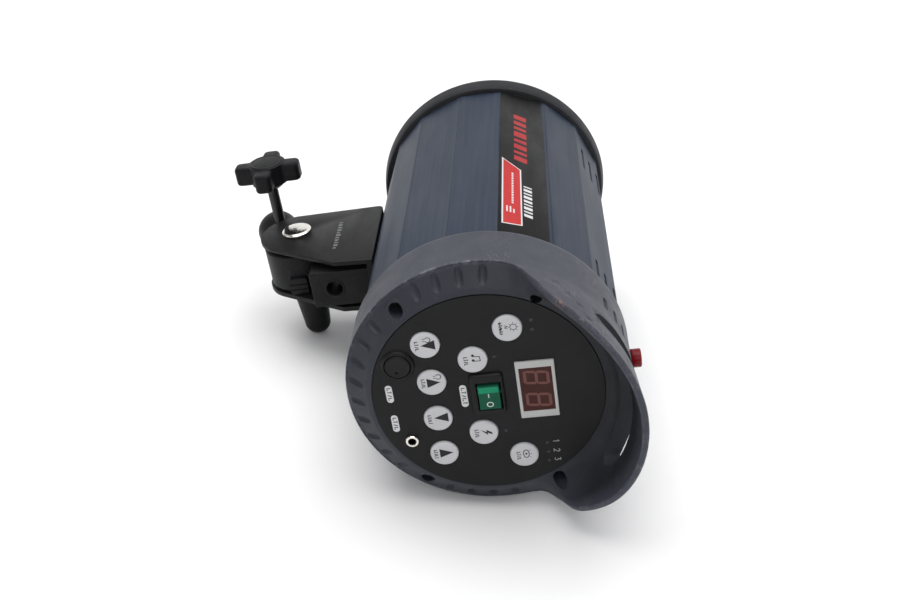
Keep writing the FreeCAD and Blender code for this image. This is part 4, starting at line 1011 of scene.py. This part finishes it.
def make_handle():
    h0, tip, rt = 15.55, 48.9, 7.15
    verts, faces = [], []
    ys, n = [], 240
    # collar with fine ribs, then a plain grip that narrows to a round end
    sec = [(h0, 0.0, 0), (h0, 8.6, 0), (h0 + 0.25, 9.2, 0.3), (h0 + 0.7, 9.55, 1), (23.2, 9.55, 1), (23.8, 9.5, 1), (24.2, 9.25, 0.2), (24.5, 8.75, 0), (24.9, 8.72, 0), (25.2, 8.9, 0)]
    for i in range(1, 12):
        u = i / 11
        sec.append((lerp(25.2, tip - 6.0, u), lerp(8.9, rt, u), 0))
    for k in range(1, 11):
        q = pi / 2 * k / 10
        sec.append((tip - 6.0 + 6.0 * math.sin(q), rt * math.cos(q) ** 0.85 if k < 10 else 0.0, 0))
    rows = []
    for y, r, f in sec:
        if r < 1e-6:
            rows.append([len(verts)])
            verts.append((0, y, 0))
        else:
            rows.append(list(range(len(verts), len(verts) + n)))
            for i in range(n):
                a = 2 * pi * i / n
                c = 0.5 + 0.5 * math.cos(20 * a)
                rr = r - f * 0.75 * (c ** 2.2)
                verts.append((rr * math.sin(a), y, rr * math.cos(a)))
    for a, b in zip(rows, rows[1:]):
        for i in range(n):
            j = (i + 1) % n
            if len(a) == 1:
                faces.append((a[0], b[j], b[i]))
            elif len(b) == 1:
                faces.append((a[i], a[j], b[0]))
            else:
                faces.append((a[i], a[j], b[j], b[i]))
    ob = new_ob("tilt_grip", verts, faces, PIVOT @ RX, 40)
    carve(ob, [prism("bore", circle(6.05, 48, 0, 0), 10, 26.5, PIVOT @ SIDE)], angle=40)
    dress(ob, "black", "tilt_grip", ("tilt_handle",))


make_handle()


def make_bolt():
    prof = [(-16.25, 0), (-16.25, 6.3), (-16.15, 6.9), (-15.85, 7.5), (-15.5, 7.9), (-15.2, 8.0), (-14.5, 8.0), (-14.1, 7.8), (-14.05, 7.4), (-14.05, 3.98), (24.2, 3.98), (24.2, 0)]
    ob = lathe("pivot_bolt", prof, 128, PIVOT @ RX, 30, closed=False)
    dress(ob, "chrome", "housing", ("tilt_bolt",))


make_bolt()


# ------------------------------------------------------------------ slave sensor
def make_sensor():
    prof = [(57.0, 1.6), (57.0, 2.95), (62.33, 2.95), (62.33, 3.95), (62.6, 4.1), (66.2, 4.15), (66.55, 4.0), (66.8, 3.6), (66.9, 3.0), (66.9, 0.0)]
    ob = lathe("eye_lens", prof + [(61.5, 0.0), (61.5, 1.6)], 64, HEAD @ T(0, 18.0, 0) @ FLIP, 30, closed=True)
    dress(ob, "red_lens", "housing", ("slave_sensor",))


make_sensor()


# ------------------------------------------------------------------ push buttons
KEYS = {"button_lamp_down": (-28.65, -23.1), "button_lamp_up": (-9.55, -23.1), "button_power_down": (9.55, -23.1), "button_power_up": (28.65, -23.1),
        "button_sound": (-19.15, -4.25), "button_test": (19.15, -4.25), "button_lamp_mode": (-33.2, 12.0), "button_cell": (33.2, 12.0)}


def make_buttons():
    for name, (x, z) in KEYS.items():
        prof = [(-1.2, 0)]
        prof += [(-1.2, 5.0), (-1.17, 5.35), (-1.08, 5.7), (-0.92, 5.98), (-0.68, 6.18), (-0.35, 6.28), (0.1, 6.3), (2.85, 6.3), (2.85, 7.2), (3.7, 7.2), (3.7, 2.2), (4.6, 2.2), (4.6, 0)]
        ob = lathe("cap_" + name, prof, 96, HEAD @ T(x, 0, z), 40, closed=False)
        dress(ob, "button", name, (name,))


make_buttons()


def icon(name, body, ink, mat="print_dark"):
    ob = ink.done(name)
    dress(ob, mat, body)


def tri(x, z_apex, z_base, half):
    return [(x - half, z_base), (x + half, z_base), (x, z_apex)]


def bulb(k, x, z, s=1.0):
    """A small lamp sign lying towards -x: ring and stem."""
    pts = [(x + 1.15 * s * math.sin(a), z + 1.15 * s * math.cos(a)) for a in [math.radians(150 + 300 * i / 14 - 300) for i in range(15)]]
    k.line([(x + p[0] - x, p[1]) for p in pts], 0.34, False)
    k.line([(x - 0.55, z - 1.2), (x - 0.5, z - 2.2)], 0.3)
    k.line([(x + 0.55, z - 1.2), (x + 0.5, z - 2.2)], 0.3)


def words(k, x0, x1, z, tall=1.5, n=5, w=0.3):
    """A short row of plain upright bars that stands in for lettering."""
    step = (x1 - x0) / n
    tall, w = tall * 1.12, w * 1.25
    for i in range(n):
        a = x0 + step * (i + 0.5)
        if i % 3 == 1:
            k.line([(a - step * 0.28, z + tall / 2), (a + step * 0.28, z + tall / 2)], w)
            k.line([(a, z + tall / 2 - w * 0.8), (a, z - tall / 2)], w)
        elif i % 3 == 0:
            k.line([(a - step * 0.25, z - tall / 2), (a - step * 0.25, z + tall / 2)], w)
            k.line([(a + step * 0.05, z - tall / 2 + w / 2), (a + step * 0.42, z - tall / 2 + w / 2)], w)
        else:
            k.line([(a - step * 0.2, z - tall / 2), (a + step * 0.25, z + tall / 2)], w)


def make_icons():
    Y = -1.2
    k = Ink(Y)
    k.fill(tri(-28.9, -24.9, -18.8, 2.35))
    bulb(k, -31.6, -21.6)
    words(k, -31.3, -26.6, -26.6, 1.35, 4, 0.32)
    icon("icon_lamp_down", "button_lamp_down", k)
    k = Ink(Y)
    k.fill(tri(-9.9, -19.2, -25.0, 2.35))
    bulb(k, -12.7, -19.8)
    words(k, -12.2, -7.4, -26.7, 1.35, 4, 0.32)
    icon("icon_lamp_up", "button_lamp_up", k)
    k = Ink(Y)
    k.fill(tri(8.7, -24.8, -18.5, 2.35))
    words(k, 6.9, 11.8, -26.7, 1.35, 5, 0.32)
    icon("icon_power_down", "button_power_down", k)
    k = Ink(Y)
    k.fill(tri(28.1, -18.9, -25.0, 2.35))
    words(k, 26.0, 30.9, -26.8, 1.35, 5, 0.32)
    icon("icon_power_up", "button_power_up", k)
    # two notes
    k = Ink(Y)
    k.line([(-21.3, -3.6), (-21.0, -1.1), (-18.9, -0.9), (-18.9, -3.6)], 0.38)
    k.fill(circle(0.62, 14, -21.75, -3.9))
    k.fill(circle(0.62, 14, -19.35, -3.9))
    words(k, -21.4, -17.0, -7.1, 1.5, 4, 0.32)
    icon("icon_sound", "button_sound", k)
    # bolt
    k = Ink(Y)
    k.fill([(18.9, -0.6), (17.4, -3.0), (18.6, -2.95), (17.2, -5.6), (20.2, -2.45), (18.95, -2.5), (20.0, -0.6)])
    words(k, 16.8, 21.2, -7.3, 1.5, 4, 0.32)
    icon("icon_test", "button_test", k)
    # lamp and two strokes
    k = Ink(Y)
    k.line([(-34.0 + 1.35 * math.sin(2 * pi * i / 20), 14.6 + 1.35 * math.cos(2 * pi * i / 20)) for i in range(20)], 0.3, True)
    for i in range(8):
        a = 2 * pi * i / 8
        k.line([(-34.0 + 1.75 * math.sin(a), 14.6 + 1.75 * math.cos(a)), (-34.0 + 2.2 * math.sin(a), 14.6 + 2.2 * math.cos(a))], 0.3)
    k.line([(-35.0, 11.0), (-34.4, 12.2), (-33.9, 11.0), (-33.3, 12.2)], 0.28)
    words(k, -36.6, -30.6, 9.3, 1.2, 6, 0.36)
    k.line([(-36.8, 9.3), (-30.6, 9.3)], 0.3)
    icon("icon_lamp_mode", "button_lamp_mode", k)
    # eye
    k = Ink(Y)
    k.line([(32.3 + 2.1 * math.sin(2 * pi * i / 28), 12.9 + 1.25 * math.cos(2 * pi * i / 28)) for i in range(28)], 0.4, True)
    k.fill(circle(0.5, 16, 32.3, 12.9))
    for i in range(3):
        a = math.radians(-40 + 40 * i)
        k.line([(32.3 + 2.6 * math.sin(a), 12.9 + 1.9 * math.cos(a)), (32.3 + 3.1 * math.sin(a), 12.9 + 2.5 * math.cos(a))], 0.28)
    words(k, 30.9, 35.4, 9.5, 1.5, 4, 0.32)
    icon("icon_cell", "button_cell", k)


make_icons()


# ------------------------------------------------------------------ panel print
def make_panel_print():
    k = Ink(0.0, 0.03)
    k.fill(rrect(-9.7, -0.7, -43.7, -40.7, 1.49, 8))
    k.fill(rrect(6.1, 15.1, -43.7, -40.7, 1.49, 8))
    k.fill(rrect(-6.5, 5.0, -11.9, -8.9, 1.49, 8))
    dress(k.done("plate_capsules"), "print_white", "housing")
    k = Ink(-0.03, 0.02)
    words(k, -8.6, -1.8, -42.2, 1.5, 4, 0.36)
    words(k, 7.2, 14.0, -42.2, 1.5, 4, 0.36)
    words(k, -5.3, 3.8, -10.4, 1.5, 5, 0.36)
    dress(k.done("plate_marks"), "print_dark", "housing")
    # running order of the three channels, as plain figures
    k = Ink(0.0, 0.025)
    w = 0.36
    x, z = 27.5, 26.4
    k.line([(x - 0.55, z + 0.9), (x + 0.05, z + 1.3), (x + 0.05, z - 1.3)], w)
    x = 32.6
    k.line([(x - 0.7, z + 0.8), (x - 0.35, z + 1.25), (x + 0.35, z + 1.25), (x + 0.7, z + 0.75), (x + 0.55, z + 0.1), (x - 0.7, z - 1.25), (x + 0.75, z - 1.25)], w)
    x = 37.4
    k.line([(x - 0.65, z + 1.2), (x + 0.6, z + 1.2), (x - 0.05, z + 0.25), (x + 0.6, z - 0.1), (x + 0.55, z - 0.95), (x, z - 1.3), (x - 0.7, z - 1.05)], w)
    dress(k.done("plate_figures"), plastic("print_grey", (0.30, 0.30, 0.31), 0.55, 0.35, 3000.0, 0.000006, 0.05, dust=0.0, bevel=None), "housing")


make_panel_print()


# ------------------------------------------------------------------ display
def make_display():
    x0, x1, z0, z1 = -1.35 - 14.55, -1.35 + 14.55, 21.2 - 8.3, 21.2 + 8.3
    a0, a1, b0, b1 = -1.35 - 11.2, -1.35 + 11.2, 21.2 - 6.95, 21.2 + 6.95
    ob = prism("display_surround", rrect(x0, x1, z0, z1, 0.35, 3), -0.7, 5.0)
    carve(ob, [prism("window_tool", [(a0, b0), (a1, b0), (a1, b1), (a0, b1)], -2, 7)])
    bevel(ob, 0.14, 2, 40)
    dress(ob, "frame_white", "housing", ("display_bezel",))
    k = Ink(-0.4, 0.015, 0.03)

    def seg8(cx, cz, w, h, t=1.0, slant=0.09):
        g = 0.18
        def q(x, z): return (cx + x + (z) * slant, cz + z)
        hw, hh = w / 2, h / 2
        for z, s in ((hh - t / 2, 1), (0, 0), (-hh + t / 2, -1)):
            a = hw - g - t * 0.5
            k.fill([q(-a - t * 0.4, z), q(-a, z + t / 2), q(a, z + t / 2), q(a + t * 0.4, z), q(a, z - t / 2), q(-a, z - t / 2)])
        for x in (-hw + t / 2, hw - t / 2):
            for za, zb in ((g, hh - g - t * 0.5), (-hh + g + t * 0.5, -g)):
                k.fill([q(x, za), q(x - t / 2, za + t * 0.4), q(x - t / 2, zb - t * 0.3), q(x, zb), q(x + t / 2, zb - t * 0.3), q(x + t / 2, za + t * 0.4)])
    seg8(-7.3, 21.4, 7.0, 11.0, 1.25)
    seg8(4.2, 21.4, 7.0, 11.0, 1.25)
    dress(k.done("display_figures"), "segment", "housing")


make_display()


# ------------------------------------------------------------------ mains switch
def make_switch():
    sx = -1.2
    # surround: sloping outer edge, flat land, inner wall
    def ring(y, hx, hz, r, lx=0.0, lz=0.0, n=5):
        return [(x, y, z) for x, z in rrect(sx - hx + lx, sx + hx, -hz + lz, hz, r, n)]
    loops = [ring(0.0, 10.5, 7.5, 1.6), ring(-0.5, 10.45, 7.45, 1.6), ring(-1.2, 10.1, 7.1, 1.4), ring(-1.6, 9.7, 6.75, 1.2), ring(-1.7, 9.3, 6.45, 1.0),
             ring(-1.7, 8.2, 6.35, 0.5, 1.6, 1.4), ring(-1.55, 7.85, 6.08, 0.3, 1.6, 1.4), ring(-1.2, 7.75, 6.0, 0.25, 1.6, 1.4), ring(11.0, 7.75, 6.0, 0.25, 1.6, 1.4), ring(11.0, 0.2, 0.2, 0.05),
             ring(15.0, 0.2, 0.2, 0.05), ring(15.0, 9.6, 6.5, 0.8), ring(0.0, 9.6, 6.5, 0.8)]
    verts, faces = [], []
    m = len(loops[0])
    for l in loops:
        verts += l
    n = len(loops)
    for i in range(n):
        j = (i + 1) % n
        faces += [(i * m + k, i * m + (k + 1) % m, j * m + (k + 1) % m, j * m + k) for k in range(m)]
    ob = new_ob("switch_surround", verts, faces, HEAD, 30)
    blades = [prism("tab", rrect(sx + xx - 2.4, sx + xx + 2.4, -0.4, 0.4, 0.2, 2), 14.9, 21.0) for xx in (-6.4, 0, 6.4)]
    for b_ in blades:
        bevel(b_, 0.15, 2)
    ob = join([ob] + blades)
    carve(ob, [prism("pin", circle(1.06, 20, sx, 1.0), -6.6, 6.6, HEAD @ FLIP)], angle=30)
    dress(ob, "black", "housing", ("switch_frame",))

    M = HEAD @ T(sx, 1.0, 0) @ rotz(5)
    top = []
    for i in range(13):
        x = lerp(-5.05, 6.9, i / 12)
        top.append((x, -2.5 - 1.0 * (x / 6.9) ** 2))
    pts = [(-5.25, -2.75)] + top + [(7.15, -3.2), (7.2, 0), (7.15, 1.6), (4.2, 4.6), (-3.4, 4.6), (-5.2, 1.6), (-5.25, 0)]
    ob = prism("rocker_cap", pts, -4.1, 5.15, M @ FLIP)
    bevel(ob, 0.3, 3, 40)
    pins = lathe("pins", [(-6.4, 0), (-6.4, 0.85), (-6.25, 1.0), (6.25, 1.0), (6.4, 0.85), (6.4, 0)], 24, M @ FLIP, 30, closed=False)
    carve(ob, [pins], "UNION")
    dress(ob, "rocker", "rocker", ("power_rocker",))
    # painted highlight: a paler green band along the crest of the raised end, and the two strokes
    L = []
    for i in range(7):
        x = lerp(-4.85, -1.3, i / 6)
        L.append((x, -2.5 - 1.0 * (x / 6.9) ** 2))
    verts, faces = [], []
    for off in (-0.035, 0.03):
        for z in (-3.75, 4.8):
            verts += [(x, y + off, z) for x, y in L]
    n = len(L)
    for i in range(n - 1):
        a, b, c, d = i, i + 1, n + i + 1, n + i
        faces += [(a, b, c, d), (2 * n + a, 2 * n + d, 2 * n + c, 2 * n + b), (a, 2 * n + a, 2 * n + b, b), (d, c, 2 * n + c, 2 * n + d)]
    faces += [(0, n, 3 * n, 2 * n), (n - 1, 3 * n - 1, 4 * n - 1, 2 * n - 1)]
    band = new_ob("rocker_crest_painted_highlight", verts, faces, M, 30, 1e-9)
    dress(band, "rocker_painted_highlight", "rocker")

    def on_curve(pts_, w, closed=False):
        Lp, Rp = stroke(pts_, w, closed)
        v, f = [], []
        n_ = len(pts_)
        for off in (-0.04, 0.03):
            for P in (Lp, Rp):
                v += [(p.x, -2.5 - 1.0 * (p.x / 6.9) ** 2 + off, p.y) for p in P]
        for i_ in range(n_ if closed else n_ - 1):
            j_ = (i_ + 1) % n_
            a, b, c, d = i_, j_, n_ + j_, n_ + i_
            f += [(a, b, c, d), (2 * n_ + a, 2 * n_ + d, 2 * n_ + c, 2 * n_ + b), (a, 2 * n_ + a, 2 * n_ + b, b), (d, c, 2 * n_ + c, 2 * n_ + d)]
        if not closed:
            f += [(0, n_, 3 * n_, 2 * n_), (n_ - 1, 3 * n_ - 1, 4 * n_ - 1, 2 * n_ - 1)]
        return v, f
    v1, f1 = on_curve([(-0.8, 0.3), (0.3, 0.3), (1.3, 0.3)], 0.42)
    v2, f2 = on_curve([(4.7 + 1.05 * math.sin(2 * pi * i / 24), 0.5 + 1.3 * math.cos(2 * pi * i / 24)) for i in range(24)], 0.4, True)
    f2 = [tuple(i + len(v1) for i in q) for q in f2]
    dress(new_ob("rocker_strokes", v1 + v2, f1 + f2, M, 30, 1e-9), "print_white", "rocker")


make_switch()


# ------------------------------------------------------------------ fuse carrier and sync socket
def make_fuse():
    fx, fz = -19.6, -36.2
    ob = lathe("fuse_shell", [(-1.0, 7.0), (-0.35, 7.35), (0.0, 7.4), (0.0, 6.1), (30.0, 6.1), (30.0, 3.75), (4.2, 3.75), (4.2, 5.75), (-1.15, 5.75), (-1.4, 5.95), (-1.4, 6.5)], 96,
               HEAD @ T(fx, 0, fz), 30)
    dress(ob, "black", "housing", ("fuse_holder",))
    ob = lathe("fuse_plug", [(-1.75, 0), (-1.75, 4.3), (-1.85, 4.8), (-1.7, 5.2), (-1.3, 5.5), (3.6, 5.5), (3.6, 3.5), (10.1, 3.5), (10.1, 2.75), (4.5, 2.75), (4.5, 0)], 96,
               HEAD @ T(fx, 0, fz), 30, closed=False)
    carve(ob, [prism("dot", circle(0.55, 20, fx + 2.7, fz - 0.8), -3, -0.9)], angle=30)
    dress(ob, "black", "fuse_carrier", ("fuse_cap",))
    jx = 20.4
    ob = lathe("sync_ferrule", [(-1.2, 1.78), (-1.4, 1.95), (-1.45, 2.3), (-1.35, 2.75), (-1.05, 2.95), (-0.05, 2.95), (-0.05, 2.65), (8.0, 2.65), (8.0, 1.78)], 64, HEAD @ T(jx, 0, fz), 30)
    dress(ob, "chrome", "housing", ("sync_bushing",))


make_fuse()


# ------------------------------------------------------------------ label on the barrel
LAB = HEAD @ roty(-67.5) @ Matrix(((1, 0, 0, 0), (0, 0, 1, 0), (0, -1, 0, 0), (0, 0, 0, 1)))     # ink (x, z) -> across, along


def make_label():
    top = 59.54
    ob = prism("name_strip", rrect(-12.75, 10.7, 34.2, 201.0, 0.8, 4), -top, -top + 0.4, LAB)
    bevel(ob, 0.08, 2, 40)
    dress(ob, "label", "housing", ("label_strip",))
    red = [(-10.6, 112.5), (-2.4, 103.6), (-2.2, 46.6), (-10.4, 45.2)]
    c = (sum(p[0] for p in red) / 4, sum(p[1] for p in red) / 4)
    k = Ink(-top, 0.02)
    k.fill([(-11.3, 114.0), (-1.75, 103.8), (-1.55, 46.0), (-11.1, 44.3)])
    dress(k.done("strip_border", LAB), "print_white", "housing")
    k = Ink(-top - 0.02, 0.015)
    k.fill(red)
    dress(k.done("strip_field", LAB), "label_red", "housing")
    k = Ink(-top, 0.02)
    # slanted bars in dark red in the place of a name
    t = 115.0
    for wdt in (5.2, 3.0, 5.2, 3.6, 6.4, 3.0, 4.4, 5.4):
        k.fill([(-5.2, t), (-5.2, t + wdt), (1.4, t + wdt - 2.2), (1.4, t - 2.2)])
        t += wdt + 3.1
    dress(k.done("strip_hatch", LAB), "label_darkred", "housing")
    k = Ink(-top - 0.0, 0.02)
    t = 56.0
    for i, wdt in enumerate((2.6, 1.4, 2.6, 1.2, 2.2, 2.6, 1.4, 2.4, 1.2)):
        k.fill([(-0.7, t), (-0.7, t + wdt), (3.3, t + wdt - 1.0), (3.3, t - 1.0)])
        t += wdt + 1.7
    dress(k.done("strip_bars", LAB), "print_white", "housing")
    k = Ink(-top - 0.035, 0.015)
    t = 66.0
    while t < 99.0:
        wdt = 1.1 + 0.5 * ((t * 7.3) % 1.7)
        k.fill([(-6.5, t), (-6.5, t + wdt), (-5.6, t + wdt), (-5.6, t)])
        t += wdt + 0.9
    for a, b, c_, d in ((-9.0, -8.3, 56.6, 62.4), (-7.4, -6.7, 56.6, 62.4), (-5.8, -5.1, 56.6, 60.4)):
        k.fill([(a, c_), (b, c_), (b, d), (a, d)])
    dress(k.done("strip_dashes", LAB), "print_white", "housing")


make_label()


# ------------------------------------------------------------------ modelling lamp
def make_lamp():
    out = [(203.1, 12.4), (205.5, 12.75), (208.0, 13.6), (211.0, 15.3), (214.0, 17.2), (217.0, 19.1), (220.0, 20.7), (223.0, 21.85), (226.0, 22.5), (228.5, 22.7),
           (231.0, 22.5), (233.5, 21.8), (236.0, 20.55), (238.2, 18.75), (240.0, 16.6), (241.5, 14.1), (242.6, 11.4), (243.4, 8.4), (243.85, 5.4), (243.98, 2.6), (244.0, 0)]
    inn = [(242.8, 0), (242.6, 5.4), (241.4, 10.6), (239.0, 15.5), (235.4, 19.2), (231.0, 21.2), (226.0, 21.2), (220.0, 19.4), (214.0, 15.9), (208.0, 12.4), (203.1, 11.2)]
    ob = lathe("lamp_envelope", out + inn, 128, HEAD, 60, closed=True)
    dress(ob, "frosted", "housing", ("lamp_glass",))


make_lamp()


# ------------------------------------------------------------------ finishes of the CAD parts that show as they are, and of what is inside
FINISH = {
    "rear_cover": "cover", "main_tube": "tube", "control_panel": "panel", "display_bezel": "frame_white", "display_window": "window",
    "display_module": "black", "status_lights": "smoke", "switch_frame": "black", "power_rocker": "rocker", "fuse_holder": "black", "fuse_cap": "black",
    "fuse_link": "quartz", "sync_bushing": "chrome", "sync_socket": "black", "slave_sensor": "red_lens", "cover_screws": "dark_steel", "tie_rods": "steel",
    "panel_board": "board", "key_switches": "black", "fan_frame": "black", "fan_rotor": "black", "charge_board": "board", "capacitor_bank": "can",
    "mid_plate": "tan_board", "trigger_coil": "coil", "front_ring": "ring", "bayonet_plate": "steel", "bayonet_screws": "steel", "latch_slider": "black",
    "lamp_base_plate": "reflector", "flash_tube": "frosted", "tube_supports": "steel", "lamp_holder": "ceramic", "lamp_cap": "cap_metal",
    "lamp_glass": "frosted", "label_strip": "label", "mains_inlet": "black", "inlet_blades": "brass", "tilt_bracket": "bracket", "bracket_screws": "steel",
    "umbrella_block": "bracket", "tilt_bolt": "chrome", "handle_washer": "steel", "tilt_head": "black_fine", "friction_washers": "fibre",
    "stand_knob": "knob", "stand_screw": "dark_steel", "tilt_handle": "black", "handle_insert": "steel",
}
for _n in NODES:
    paint(_n, FINISH.get(_n, "button" if _n.startswith("button_") else "black"))
